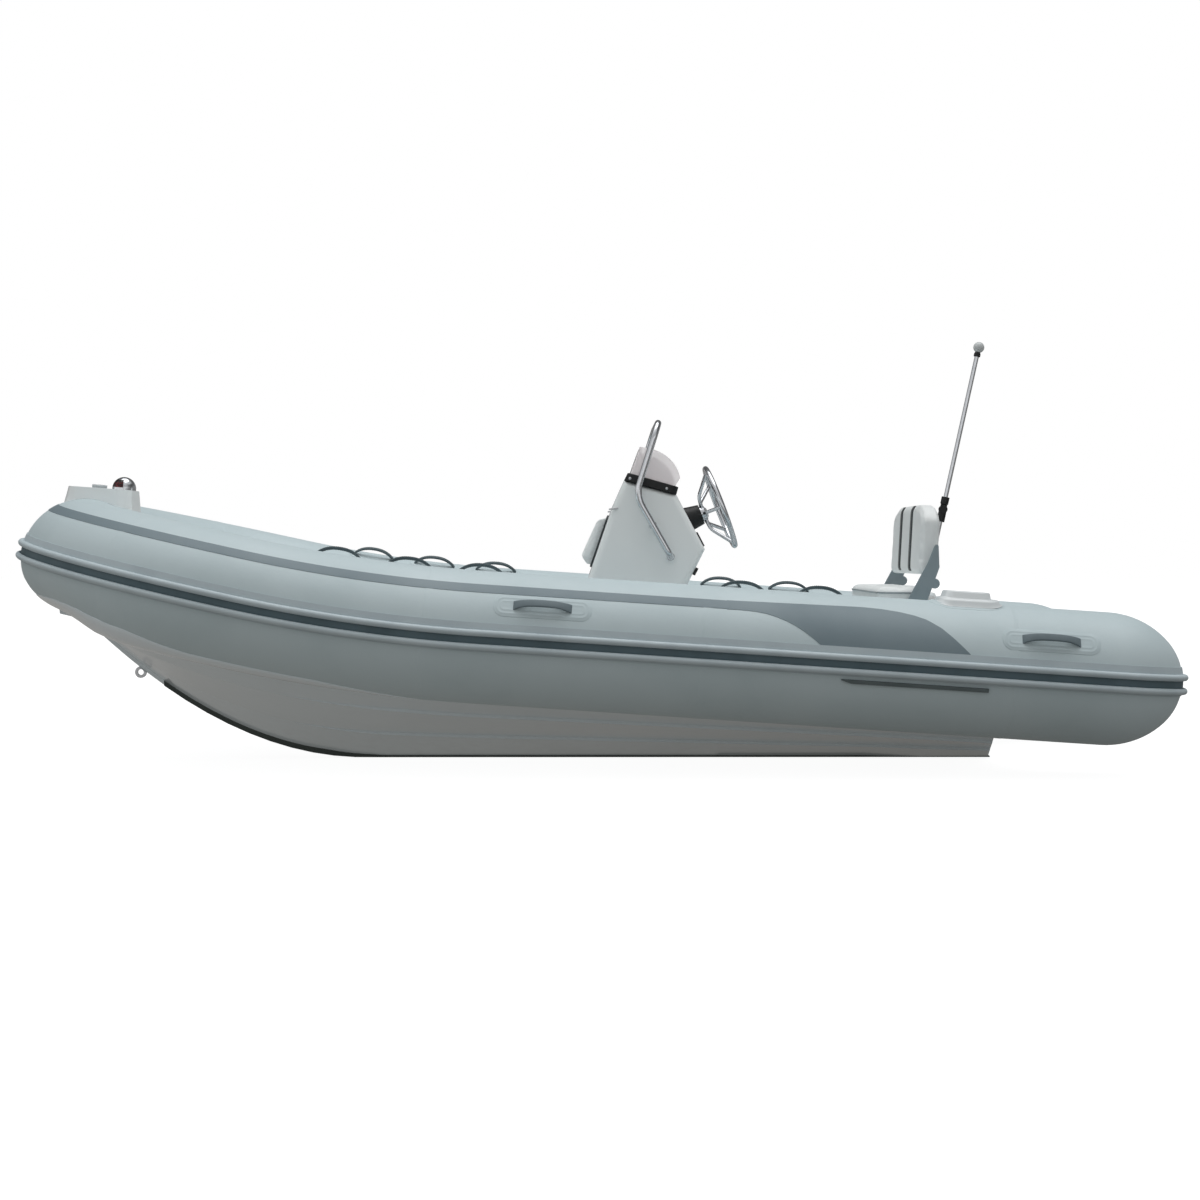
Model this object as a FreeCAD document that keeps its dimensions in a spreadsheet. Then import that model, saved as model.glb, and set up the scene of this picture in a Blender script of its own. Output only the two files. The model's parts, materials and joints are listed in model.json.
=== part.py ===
import FreeCAD, Part
import math
import os
import Sketcher

# Rigid inflatable boat, outboard not fitted. Millimetres and degrees.
# +X runs to the bow, +Y to port, +Z up. The origin is on the waterline amidships, on the centreline.

SIZES = {
    # Buoyancy tube: axis path and section
    "tube_radius": 268.0,
    "tube_half_spacing": 800.0,
    "dome_base_x": -2071.0,
    "dome_base_z": 190.0,
    "dome_length": 309.0,
    "dome_tip_radius": 240.0,
    "stern_slope_angle": 3.8,
    "sheer_start_x": 440.0,
    "sheer_run": 970.0,
    "bow_slope_angle": 12.3,
    "bow_turn_radius": 800.0,
    "bow_turn_angle": 30.0,
    "seat_gap": 0.3,
    "cut_overrun": 60.0,
    # Rubbing strake on the tube's outboard face
    "rail_ridge_radius": 13.0,
    "rail_ridge_offset": 27.5,
    "rail_stand": 22.0,
    "rail_flange_thickness": 3.0,
    "rail_flange_top": 69.0,
    "rail_flange_bottom": 46.0,
    "lower_strake_start_x": -985.0,
    "lower_strake_end_x": -1563.0,
    "lower_strake_drop": 65.0,
    "lower_strake_height": 14.0,
    "lower_strake_stand": 9.0,
    # Accent stripe and swoosh, a thin bonded skin
    "accent_thickness": 1.2,
    "accent_low_angle": 43.5,
    "accent_high_angle": 53.5,
    "swoosh_front_x": -540.0,
    "swoosh_aft_x": -1512.0,
    "swoosh_height": 232.0,
    # Lifting handles outboard and grab handles inboard
    "lift_handle_length": 230.0,
    "lift_handle_width": 31.0,
    "lift_handle_rise": 34.0,
    "lift_handle_thickness": 9.0,
    "lift_handle_angle": 32.0,
    "lift_patch_length": 386.0,
    "lift_patch_width": 98.0,
    "lift_patch_thickness": 2.5,
    "lift_handle_fore_x": 195.0,
    "lift_handle_aft_x": -1802.0,
    "grab_handle_length": 192.0,
    "grab_handle_width": 25.0,
    "grab_handle_rise": 40.0,
    "grab_handle_thickness": 12.0,
    "grab_handle_angle": 110.0,
    "grab_patch_length": 236.0,
    "grab_patch_width": 70.0,
    "grab_handle_bow_x": 1061.0,
    "grab_handle_fore_x": 763.0,
    "grab_handle_mid_x": 462.0,
    "grab_handle_seat_x": -600.0,
    "grab_handle_stern_x": -920.0,
    # Hull
    "keel_depth": 200.0,
    "transom_foot_x": -1752.0,
    "transom_rake_angle": 15.0,
    "stem_start_x": 1000.0,
    "stem_top_reach": 8.4,
    "stem_rise": 591.0,
    "stem_lip_reach": 131.4,
    "stem_lip_z": 430.0,
    "stem_lip_half_breadth": 70.0,
    "keel_half_width": 25.0,
    "keel_bar_height": 22.0,
    "keel_bar_rebate": 6.0,
    "keel_strip_setback": 333.0,
    "spray_strake_width": 24.0,
    "spray_strake_height": 12.0,
    "deck_top_z": 150.0,
    "deck_thickness": 20.0,
    "bow_bulkhead_x": 1250.0,
    "well_side_margin": 160.0,
    "well_bow_margin": 300.0,
    "well_taper_x": 700.0,
    "foredeck_drop": 115.0,
    "foredeck_rise": 75.0,
    "locker_wall": 30.0,
    "locker_length": 330.0,
    "locker_side_margin": 500.0,
    "locker_depth": 260.0,
    "lid_thickness": 22.0,
    "lid_lip": 25.0,
    "transom_thickness": 52.0,
    "transom_top_z": 308.0,
    "motor_pad_width": 320.0,
    "motor_pad_height": 260.0,
    "motor_pad_thickness": 8.0,
    "bow_eye_setback": 228.0,
    "bow_eye_drop": 19.0,
    "bow_eye_radius": 25.5,
    "bow_eye_hole_radius": 12.5,
    "bow_eye_thickness": 12.0,
    "bow_eye_shank_radius": 6.0,
    "tow_eye_half_spacing": 380.0,
    "tow_eye_z": 40.0,
    "tow_eye_radius": 25.0,
    "tow_eye_hole_radius": 14.0,
    "tow_eye_thickness": 10.0,
    "tow_eye_reach": 34.0,
    "tow_plate_width": 60.0,
    "tow_plate_height": 40.0,
    "tow_plate_thickness": 5.0,
    # Bow step moulding with cleat and navigation light
    "bow_step_setback": 206.6,
    "bow_step_reach": 100.4,
    "bow_step_half_width": 160.0,
    "bow_step_aft_rise": 302.6,
    "bow_step_fore_rise": 325.1,
    "bow_step_floor_rise": 150.6,
    "bow_step_draft": 22.0,
    "bow_step_corner_radius": 60.0,
    "nav_light_setback": 149.6,
    "nav_light_radius": 51.0,
    "nav_light_height": 57.0,
    "nav_light_base_height": 10.0,
    "nav_lens_width": 34.0,
    "bow_cleat_setback": 41.6,
    "bow_cleat_half_length": 29.0,
    "bow_cleat_height": 16.0,
    "bow_cleat_radius": 4.5,
    "bow_cleat_foot": 26.0,
    # Stern step mouldings on the tube tops
    "step_fore_x": -1400.0,
    "step_aft_x": -1586.0,
    "step_stand": 46.0,
    "step_half_width": 88.0,
    "step_draft": 12.0,
    "step_flange_margin": 60.0,
    "step_flange_thickness": 5.0,
    # Console
    "console_half_width": 300.0,
    "console_wall": 14.0,
    "console_corner_radius": 28.0,
    "console_front_x": 157.0,
    "console_shoulder_x": -94.0,
    "console_shoulder_z": 891.0,
    "console_brow_x": -145.0,
    "console_brow_z": 1005.0,
    "console_crown_x": -368.0,
    "console_crown_z": 944.0,
    "dash_foot_x": -490.0,
    "dash_foot_z": 712.0,
    "console_back_x": -400.0,
    "console_back_z": 530.0,
    "console_heel_x": -370.0,
    "door_half_width": 205.0,
    "door_low_z": 225.0,
    "door_high_z": 490.0,
    "door_thickness": 16.0,
    "door_gap": 6.0,
    "hinge_radius": 6.0,
    "screen_base_height": 32.0,
    "screen_base_overhang": 4.0,
    "screen_thickness": 5.0,
    "screen_inset": 10.0,
    "screen_corner_radius": 45.0,
    "screen_front_x": -213.0,
    "screen_front_z": 1149.0,
    "screen_peak_x": -269.0,
    "screen_peak_z": 1136.0,
    "screen_tail_x": -383.0,
    "screen_tail_z": 1015.0,
    "rail_tube_radius": 14.0,
    "rail_half_width": 342.0,
    "rail_foot_x": -343.0,
    "rail_foot_z": 680.0,
    "rail_bend_x": -195.0,
    "rail_bend_z": 940.0,
    "rail_top_x": -290.0,
    "rail_top_z": 1249.0,
    "rail_corner_radius": 75.0,
    "rail_knee_radius": 130.0,
    "rail_standoff_x": -266.0,
    "rail_standoff_z": 815.0,
    "rail_flange_radius": 17.0,
    # Helm
    "helm_z": 840.0,
    "helm_tilt_angle": 21.0,
    "helm_cone_radius": 54.0,
    "helm_neck_radius": 44.0,
    "helm_cone_length": 70.0,
    "wheel_radius": 192.0,
    "wheel_rim_radius": 12.0,
    "wheel_dish": 77.0,
    "wheel_hub_radius": 34.0,
    "wheel_hub_length": 22.0,
    "wheel_gap": 0.4,
    "wheel_spoke_radius": 8.0,
    # Pads and front seat
    "front_pad_low_z": 640.0,
    "front_pad_high_z": 850.0,
    "front_pad_half_width": 250.0,
    "front_pad_thickness": 45.0,
    "soft_gap": 0.4,
    "front_seat_fore_x": 520.0,
    "front_seat_half_width": 280.0,
    "front_seat_top_z": 425.0,
    "front_seat_wall": 16.0,
    "front_seat_lid_thickness": 16.0,
    "front_cushion_thickness": 70.0,
    "cushion_inset": 8.0,
    "cushion_edge_radius": 22.0,
    # Stern seat
    "seat_fore_x": -1200.0,
    "seat_aft_x": -1560.0,
    "seat_side_gap": 82.0,
    "seat_top_z": 468.0,
    "seat_ledge_z": 500.0,
    "seat_wall": 18.0,
    "seat_step_x": -1420.0,
    "seat_cushion_thickness": 82.0,
    "seat_door_side_margin": 120.0,
    "seat_door_low_z": 200.0,
    "seat_door_high_z": 420.0,
    # Flip-over backrest
    "backrest_side_gap": 5.0,
    "backrest_front_x": -1384.0,
    "backrest_thickness": 70.0,
    "backrest_low_z": 593.0,
    "backrest_high_z": 917.0,
    "backrest_corner_across": 220.0,
    "backrest_corner_down": 90.0,
    "backrest_rake_angle": 3.0,
    "arm_thickness": 12.0,
    "arm_gap": 8.0,
    "arm_pivot_x": -1340.0,
    "arm_pivot_z": 430.0,
    "arm_pivot_radius": 10.0,
    "arm_pivot_clearance": 0.06,
    "arm_boss_radius": 44.0,
    "arm_waist_x": -1434.0,
    "arm_waist_z": 640.0,
    "arm_waist_half_width": 26.5,
    "arm_knuckle_x": -1441.0,
    "arm_knuckle_z": 568.0,
    "arm_knuckle_radius": 21.0,
    "arm_top_x": -1448.0,
    "arm_top_z": 722.0,
    "arm_top_half_width": 9.0,
    "arm_fixing_radius": 8.0,
    # Folding light mast
    "mast_base_x": -1466.0,
    "mast_lean_angle": 12.3,
    "mast_radius": 9.5,
    "mast_socket_radius": 16.0,
    "mast_socket_height": 42.0,
    "mast_joint_low_z": 834.0,
    "mast_joint_high_z": 941.0,
    "mast_joint_radius": 17.5,
    "mast_top_z": 1556.0,
    "mast_collar_height": 20.0,
    "mast_collar_radius": 15.0,
    "globe_radius": 24.0,
    "mast_slot_clearance": 6.0,
    "mast_tongue_half_width": 5.5,
    "mast_pin_radius": 4.0,
}

# Shapes that follow the sizes, as shares of them
HULL_STATION_SHARES = (0.0, 0.46, 0.60, 0.687, 0.72, 0.76, 0.80, 0.84, 0.88, 0.92, 0.95, 0.972, 1.0)
LOW_STRAKE_BREADTH_SHARE = 0.31
LOW_STRAKE_RISE_SHARE = 0.34
HIGH_STRAKE_BREADTH_SHARE = 0.70
HIGH_STRAKE_RISE_SHARE = 0.74
CHINE_BREADTH_SHARE = 0.90
STEM_CURVE_POWER = 1.95
SPOKE_COUNT = 5
BAND_BROW_SHARE = 0.5
BAND_CROWN_SHARE = 0.28
ARM_FIXING_SHARE = 0.75
STUD_COLLAR_SHARE = 0.7
GLOBE_SEAT_SHARE = 0.9
HANDLE_SHOULDER_SHARE = 0.60
HANDLE_SHOULDER_RISE_SHARE = 0.80
HANDLE_INSIDE_SHARE = 0.35
STEP_NOSE_BREADTH_SHARE = 0.8
LENS_ROOT_SHARE = 0.55
HOLLOW_FRONT_SHARE = 1.06
HOLLOW_BROW_SHARES = (0.75, 1.2)
HOLLOW_CROWN_SHARES = (0.7, 1.2)
HOLLOW_DASH_SHARE = 1.3
HOLLOW_BACK_SHARE = 1.05
KEEL_SPOT_COUNT = 12
FOOT_BEND_SHARE = 0.7
STANDOFF_SHARE = 0.7
SWOOSH_LEAD_SHARES = ((0.0, 0.79), (0.09, 0.787), (0.159, 0.757), (0.24, 0.656), (0.307, 0.506),
                      (0.354, 0.362), (0.40, 0.20))
SWOOSH_TAIL_SHARES = ((1.0, 0.20), (0.91, 0.56), (0.81, 0.83), (0.70, 0.93), (0.55, 0.97))
SWOOSH_FRONT_TOP_SHARE = 0.935

doc = FreeCAD.newDocument("InflatableBoat")
sheet = doc.addObject("Spreadsheet::Sheet", "Sizes")
for row, (alias, value) in enumerate(SIZES.items(), start=1):
    sheet.set(f"A{row}", alias)
    sheet.set(f"B{row}", str(value))
    sheet.setAlias(f"B{row}", alias)
doc.recompute()

vector = FreeCAD.Vector
UP = vector(0, 0, 1)
PORT = vector(0, 1, 0)
FORE = vector(1, 0, 0)


class Size:
    """A number read from the sheet, with the expression that gives it."""

    def __init__(self, value, text):
        self.value = value
        self.text = text

    def __float__(self):
        return float(self.value)

    def join(self, other, sign, value, swap=False):
        text = other.text if isinstance(other, Size) else repr(other)
        pair = (text, self.text) if swap else (self.text, text)
        return Size(value, f"({pair[0]} {sign} {pair[1]})")

    def __add__(self, other):
        return self.join(other, "+", self.value + float(other))

    def __sub__(self, other):
        return self.join(other, "-", self.value - float(other))

    def __rsub__(self, other):
        return self.join(other, "-", float(other) - self.value, True)

    def __mul__(self, other):
        return self.join(other, "*", self.value * float(other))

    def __truediv__(self, other):
        return self.join(other, "/", self.value / float(other))

    def __neg__(self):
        return Size(-self.value, f"(-1 * {self.text})")

    __radd__ = __add__
    __rmul__ = __mul__


def size(alias):
    return Size(float(sheet.get(alias)), f"Sizes.{alias}")


def num(alias):
    return float(sheet.get(alias))


def interpolate(low, high, share):
    return low + (high - low) * share


# Document objects: a finished shape, a PartDesign body, and sketches on its planes

sub_parts = []


def keep_shape(label, shape):
    feature = doc.addObject("Part::Feature", label)
    feature.Label = label
    feature.Shape = shape
    sub_parts.append(feature)
    return feature


def start_body(label):
    body = doc.addObject("PartDesign::Body", label)
    body.Label = label
    sub_parts.append(body)
    return body


def start_sketch(body, name, plane="XZ_Plane", offset=None):
    sketch = body.newObject("Sketcher::SketchObject", f"{body.Name}_{name}")
    origin_plane = [item for item in body.Origin.OriginFeatures if item.Role == plane][0]
    sketch.AttachmentSupport = [(origin_plane, "")]
    sketch.MapMode = "FlatFace"
    if offset is not None:
        sketch.AttachmentOffset = FreeCAD.Placement(vector(0, 0, float(offset)), FreeCAD.Rotation())
        sketch.setExpression("AttachmentOffset.Base.z", offset.text)
    return sketch


def pin_point(sketch, geometry, end, x, y):
    for kind, value in (("DistanceX", x), ("DistanceY", y)):
        index = sketch.addConstraint(Sketcher.Constraint(kind, -1, 1, geometry, end, float(value)))
        if isinstance(value, Size):
            sketch.setExpression(f"Constraints[{index}]", value.text)


def draw_outline(sketch, points):
    """A closed outline of straight lines, each corner bound to the sheet."""
    count = len(points)
    spots = [vector(float(x), float(y), 0) for x, y in points]
    first = sketch.GeometryCount
    for index in range(count):
        sketch.addGeometry(Part.LineSegment(spots[index], spots[(index + 1) % count]), False)
    for index in range(count):
        follower = first + (index + 1) % count
        sketch.addConstraint(Sketcher.Constraint("Coincident", first + index, 2, follower, 1))
    for index, (x, y) in enumerate(points):
        pin_point(sketch, first + index, 1, x, y)


def draw_circle(sketch, x, y, radius):
    index = sketch.GeometryCount
    sketch.addGeometry(Part.Circle(vector(float(x), float(y), 0), UP, float(radius)), False)
    limit = sketch.addConstraint(Sketcher.Constraint("Radius", index, float(radius)))
    sketch.setExpression(f"Constraints[{limit}]", radius.text)
    pin_point(sketch, index, 3, x, y)


def pad(body, sketch, length, name="Pad", midplane=True, reverse=False):
    feature = body.newObject("PartDesign::Pad", f"{body.Name}_{name}")
    feature.Profile = sketch
    feature.Midplane = midplane
    feature.Reversed = reverse
    feature.Length = float(length)
    feature.setExpression("Length", length.text)
    return feature


def pocket(body, sketch, length, name="Pocket", midplane=True, reverse=False):
    feature = body.newObject("PartDesign::Pocket", f"{body.Name}_{name}")
    feature.Profile = sketch
    feature.Midplane = midplane
    feature.Reversed = reverse
    feature.Length = float(length)
    feature.setExpression("Length", length.text)
    return feature


def fillet_edges(body, radius, chosen, name="Fillet", kind="PartDesign::Fillet"):
    """Round the edges of the body's tip that the test picks."""
    doc.recompute()
    tip = body.Tip
    picked = [f"Edge{n}" for n, edge in enumerate(tip.Shape.Edges, start=1) if chosen(edge)]
    feature = body.newObject(kind, f"{body.Name}_{name}")
    feature.Base = (tip, picked)
    if kind.endswith("Chamfer"):
        feature.Size = float(radius)
        feature.setExpression("Size", radius.text)
    else:
        feature.Radius = float(radius)
        feature.setExpression("Radius", radius.text)
    return feature


def revolve(body, sketch, name="Revolution", axis="V_Axis"):
    feature = body.newObject("PartDesign::Revolution", f"{body.Name}_{name}")
    feature.Profile = sketch
    feature.ReferenceAxis = (sketch, [axis])
    feature.Angle = 360
    return feature


# Buoyancy tube path: straight run, upward sheer, inward turn, then the nose.
# Each step carries a section on from where the last one ended.

stern_slope = math.radians(num("stern_slope_angle"))
bow_slope = math.radians(num("bow_slope_angle"))
turn_angle = math.radians(num("bow_turn_angle"))
radius = num("tube_radius")
spacing = num("tube_half_spacing")
gap = num("seat_gap")
turn_radius = num("bow_turn_radius")
sheer_radius = num("sheer_run") / (math.sin(bow_slope) - math.sin(stern_slope))
nose_radius = (spacing - turn_radius * (1 - math.cos(turn_angle))) / math.cos(turn_angle)
run_x = num("sheer_start_x") - num("dome_base_x")

dome_base = vector(num("dome_base_x"), spacing, num("dome_base_z"))
run_direction = vector(math.cos(stern_slope), 0, math.sin(stern_slope))
run_normal = vector(-math.sin(stern_slope), 0, math.cos(stern_slope))
run_length = run_x / math.cos(stern_slope)
sheer_start = dome_base + run_direction * run_length
sheer_centre = sheer_start + run_normal * sheer_radius
bow_direction = vector(math.cos(bow_slope), 0, math.sin(bow_slope))
bow_normal = vector(-math.sin(bow_slope), 0, math.cos(bow_slope))
turn_start = sheer_centre - bow_normal * sheer_radius
turn_centre = turn_start - PORT * turn_radius
turn_reach = (turn_radius - nose_radius) * math.sin(turn_angle)
nose_centre = turn_start + bow_direction * turn_reach - PORT * spacing

# Places that follow the tubes: widths between them, and stations measured from the nose
tube_inner = size("tube_half_spacing") - size("tube_radius")
seat_half = tube_inner - size("seat_side_gap")
seat_door_half = seat_half - size("seat_door_side_margin")
backrest_half = float(seat_half) - num("backrest_side_gap")
well_half = spacing - num("well_side_margin")
well_bow_half = spacing - num("well_bow_margin")
locker_half = spacing - num("locker_side_margin")
nose_tip_x = nose_centre.x + bow_direction.x * nose_radius
stem_top_x = nose_tip_x + num("stem_top_reach")
stem_lip_x = nose_tip_x + num("stem_lip_reach")
bow_step_aft_x = nose_tip_x - num("bow_step_setback")
bow_step_fore_x = nose_tip_x + num("bow_step_reach")
nav_light_x = nose_tip_x - num("nav_light_setback")
bow_cleat_x = nose_tip_x - num("bow_cleat_setback")
bow_eye_x = stem_top_x - num("bow_eye_setback")
keel_strip_front_x = stem_top_x - num("keel_strip_setback")
nose_tip_z = nose_centre.z + bow_direction.z * nose_radius
bow_step_aft_z = nose_tip_z + num("bow_step_aft_rise")
bow_step_fore_z = nose_tip_z + num("bow_step_fore_rise")
bow_step_floor_z = nose_tip_z + num("bow_step_floor_rise")


class Path:
    """Steps of the port tube's axis, with the place and direction at any distance along it."""

    def __init__(self):
        self.steps = [("run", run_length), ("sheer", sheer_radius * (bow_slope - stern_slope)),
                      ("turn", turn_radius * turn_angle), ("nose", nose_radius * (math.pi / 2 - turn_angle))]

    def start_of(self, name):
        total = 0.0
        for step, length in self.steps:
            if step == name:
                return total
            total += length
        return total

    def place(self, distance):
        """Point on the axis, forward direction and outboard direction."""
        left = distance
        for step, length in self.steps:
            if left <= length or step == "nose":
                break
            left -= length
        if step == "run":
            return dome_base + run_direction * left, run_direction, PORT
        if step == "sheer":
            slope = stern_slope + left / sheer_radius
            forward = vector(math.cos(slope), 0, math.sin(slope))
            normal = vector(-math.sin(slope), 0, math.cos(slope))
            return sheer_centre - normal * sheer_radius, forward, PORT
        if step == "turn":
            angle = left / turn_radius
            centre, bend = turn_centre, turn_radius
        else:
            angle = turn_angle + left / nose_radius
            centre, bend = nose_centre, nose_radius
        outward = bow_direction * math.sin(angle) + PORT * math.cos(angle)
        forward = bow_direction * math.cos(angle) - PORT * math.sin(angle)
        return centre + outward * bend, forward, outward

    def distance_at(self, x):
        """Distance along the axis at which it stands over the given x."""
        low, high = -num("dome_length"), self.start_of("end")
        for _ in range(60):
            middle = (low + high) / 2
            if self.place(middle)[0].x < x:
                low = middle
            else:
                high = middle
        return low

    def sweep(self, section, start, end):
        """Carry a section, drawn in outboard and up coordinates, from one distance to another."""
        point, forward, outward = self.place(start)
        upward = forward.cross(outward)
        frame = FreeCAD.Placement(FreeCAD.Matrix(
            outward.x, upward.x, forward.x, point.x,
            outward.y, upward.y, forward.y, point.y,
            outward.z, upward.z, forward.z, point.z, 0, 0, 0, 1))
        face = section.copy()
        face.Placement = frame
        solids = []
        total = 0.0
        for step, length in self.steps:
            low = max(start, total) if step != "run" else start
            high = min(end, total + length)
            total += length
            if high - low <= 0:
                continue
            if step == "run":
                travel = run_direction * (high - low)
                solids.append(face.extrude(travel))
                face.translate(travel)
                continue
            centre, axis, bend = {
                "sheer": (sheer_centre, vector(0, -1, 0), sheer_radius),
                "turn": (turn_centre, bow_normal * -1, turn_radius),
                "nose": (nose_centre, bow_normal * -1, nose_radius)}[step]
            degrees = math.degrees((high - low) / bend)
            solids.append(face.revolve(centre, axis, degrees))
            face.rotate(centre, axis, degrees)
        return fuse_all(solids)


def fuse_all(solids):
    result = solids[0]
    if len(solids) > 1:
        result = result.multiFuse(solids[1:]).removeSplitter()
    return result.Solids[0] if len(result.Solids) == 1 else result


def mirrored(shape):
    return shape.mirror(vector(0, 0, 0), PORT)


def disc(disc_radius):
    return Part.Face(Part.Wire(Part.Circle(vector(0, 0, 0), UP, disc_radius).toShape()))


def arc_edge(edge_radius, start, end, centre=(0, 0)):
    """Arc in the section plane between two angles in degrees, through their middle."""
    middle = (start + end) / 2
    spots = [vector(centre[0] + edge_radius * math.cos(math.radians(a)),
                    centre[1] + edge_radius * math.sin(math.radians(a)), 0) for a in (start, middle, end)]
    return Part.Arc(*spots).toShape(), spots[0], spots[2]


def line_edge(start, end):
    return Part.LineSegment(start, end).toShape()


def ring_section(low_angle, high_angle, inner, thickness):
    """Strip of a round skin between two angles above the tube's equator."""
    outside, outside_low, outside_high = arc_edge(inner + thickness, low_angle, high_angle)
    inside, inside_high, inside_low = arc_edge(inner, high_angle, low_angle)
    edges = [outside, line_edge(outside_high, inside_high), inside, line_edge(inside_low, outside_low)]
    return Part.Face(Part.Wire(edges))


path = Path()
turn_end = path.start_of("nose")
path_end = path.start_of("end")


def dome_outline(shell_radius):
    """Quarter oval of two tangent arcs, from the dome's base to its tip, in along and across values."""
    extra = shell_radius - radius
    long_half = num("dome_length") + extra
    tip_radius = num("dome_tip_radius") + extra
    side_radius = (long_half ** 2 + shell_radius ** 2 - 2 * long_half * tip_radius)
    side_radius = side_radius / (2 * (shell_radius - tip_radius))
    lean = math.atan2(long_half - tip_radius, side_radius - shell_radius)
    return long_half, tip_radius, side_radius, lean


def dome_solid(shell_radius):
    """Stern dome turned about the tube's axis."""
    long_half, tip_radius, side_radius, lean = dome_outline(shell_radius)
    base = vector(0, shell_radius, 0)
    side_centre = vector(0, shell_radius - side_radius, 0)
    side_middle = side_centre + vector(-math.sin(lean / 2), math.cos(lean / 2), 0) * side_radius
    joint = side_centre + vector(-math.sin(lean), math.cos(lean), 0) * side_radius
    tip_centre = vector(tip_radius - long_half, 0, 0)
    tip_lean = (lean + math.pi / 2) / 2
    tip_middle = tip_centre + vector(-math.sin(tip_lean), math.cos(tip_lean), 0) * tip_radius
    tip = vector(-long_half, 0, 0)
    edges = [Part.Arc(base, side_middle, joint).toShape(), Part.Arc(joint, tip_middle, tip).toShape(),
             line_edge(tip, vector(0, 0, 0)), line_edge(vector(0, 0, 0), base)]
    solid = Part.Face(Part.Wire(edges)).revolve(vector(0, 0, 0), FORE, 360)
    solid.rotate(vector(0, 0, 0), PORT, -num("stern_slope_angle"))
    solid.translate(dome_base)
    return solid


def side_tube(shell_radius):
    return fuse_all([dome_solid(shell_radius), path.sweep(disc(shell_radius), 0, turn_end)])


def bow_tube(shell_radius):
    half = path.sweep(disc(shell_radius), turn_end, path_end)
    return fuse_all([half, mirrored(half)])


tube_port = side_tube(radius)
tube_bow = bow_tube(radius)
cradle_port = side_tube(radius + gap)
tube_cutter = [cradle_port, mirrored(cradle_port), bow_tube(radius + gap)]
keep_shape("tube_port", tube_port)
keep_shape("tube_starboard", mirrored(tube_port))
keep_shape("tube_bow", tube_bow)


def clear_of_tubes(shape):
    """Cut the tubes, with their seating gap, out of a shape."""
    for cutter in tube_cutter:
        if shape.BoundBox.intersect(cutter.BoundBox):
            shape = shape.cut(cutter)
    return fuse_all(shape.Solids)


def axis_height(x):
    """Height of the tube's axis over a given x, carried straight on past the nose."""
    if x <= num("sheer_start_x"):
        return dome_base.z + (x - dome_base.x) * math.tan(stern_slope)
    if x <= turn_start.x:
        slope = math.asin(math.sin(stern_slope) + (x - sheer_start.x) / sheer_radius)
        return sheer_centre.z - sheer_radius * math.cos(slope)
    return turn_start.z + (x - turn_start.x) * math.tan(bow_slope)


def axis_half_breadth(x):
    """Distance of the tube's axis from the centreline over a given x."""
    if x <= turn_start.x:
        return spacing
    reach = (x - turn_start.x) / math.cos(bow_slope)
    if reach <= turn_radius * math.sin(turn_angle):
        return spacing - turn_radius + math.sqrt(turn_radius ** 2 - reach ** 2)
    return math.sqrt(max(nose_radius ** 2 - (reach - turn_reach) ** 2, 0.0))


# Rubbing strake: two half-round ridges with a valley between, on a bonded flange

def rail_section():
    inner = radius + gap
    outer = inner + num("rail_flange_thickness")
    ridge, offset = num("rail_ridge_radius"), num("rail_ridge_offset")
    crest = radius + num("rail_stand") - ridge
    top_angle = math.degrees(math.asin(num("rail_flange_top") / radius))
    low_angle = -math.degrees(math.asin(num("rail_flange_bottom") / radius))
    edges = []
    shoulder = {}
    for side in (1, -1):
        for sense in (1, -1):
            height = side * offset + sense * ridge
            shoulder[side, sense] = math.degrees(math.asin(height / outer))
    flange_top, spot_top, spot = arc_edge(outer, top_angle, shoulder[1, 1])
    edges.append(flange_top)
    for side in (1, -1):
        high = vector(crest, side * offset + ridge, 0)
        low = vector(crest, side * offset - ridge, 0)
        edges.append(line_edge(spot, high))
        edges.append(Part.Arc(high, vector(crest + ridge, side * offset, 0), low).toShape())
        next_angle = shoulder[-1, 1] if side == 1 else low_angle
        valley, valley_start, valley_end = arc_edge(outer, shoulder[side, -1], next_angle)
        edges.append(line_edge(low, valley_start))
        edges.append(valley)
        spot = valley_end
    inside, inside_low, inside_high = arc_edge(inner, low_angle, top_angle)
    edges.append(line_edge(spot, inside_low))
    edges.append(inside)
    edges.append(line_edge(inside_high, spot_top))
    return Part.Face(Part.Wire(edges))


def rail_round_dome(section):
    """The strake carried round the stern dome to the tip, along the dome's two arcs."""
    _, tip_radius, side_radius, lean = dome_outline(radius)
    long_half = num("dome_length")
    face = section.copy()
    # The section stands at the dome's base: outboard is +Y, up is the run's normal
    face.Placement = FreeCAD.Placement(FreeCAD.Matrix(
        0, run_normal.x, run_direction.x, dome_base.x,
        1, run_normal.y, run_direction.y, dome_base.y,
        0, run_normal.z, run_direction.z, dome_base.z, 0, 0, 0, 1))
    side_centre = dome_base + PORT * (radius - side_radius)
    tip_centre = dome_base - run_direction * (long_half - tip_radius)
    side = face.revolve(side_centre, run_normal, math.degrees(lean))
    face.rotate(side_centre, run_normal, math.degrees(lean))
    tip = face.revolve(tip_centre, run_normal, 90 - math.degrees(lean))
    return [side, tip]


section = rail_section()
rail_side = fuse_all(rail_round_dome(section) + [path.sweep(section, 0, turn_end)])
rail_nose = path.sweep(section, turn_end, path_end)
keep_shape("rubrail", fuse_all([rail_side, rail_nose, mirrored(rail_nose), mirrored(rail_side)]))


def lower_strake():
    drop, half = num("lower_strake_drop"), num("lower_strake_height") / 2
    low = -math.degrees(math.asin((drop + half) / radius))
    high = -math.degrees(math.asin((drop - half) / radius))
    bar = ring_section(low, high, radius + gap, num("lower_strake_stand"))
    start = path.distance_at(num("lower_strake_end_x"))
    return path.sweep(bar, start, path.distance_at(num("lower_strake_start_x")))


strake = lower_strake()
keep_shape("lower_strakes", Part.makeCompound([strake, mirrored(strake)]))


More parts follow.
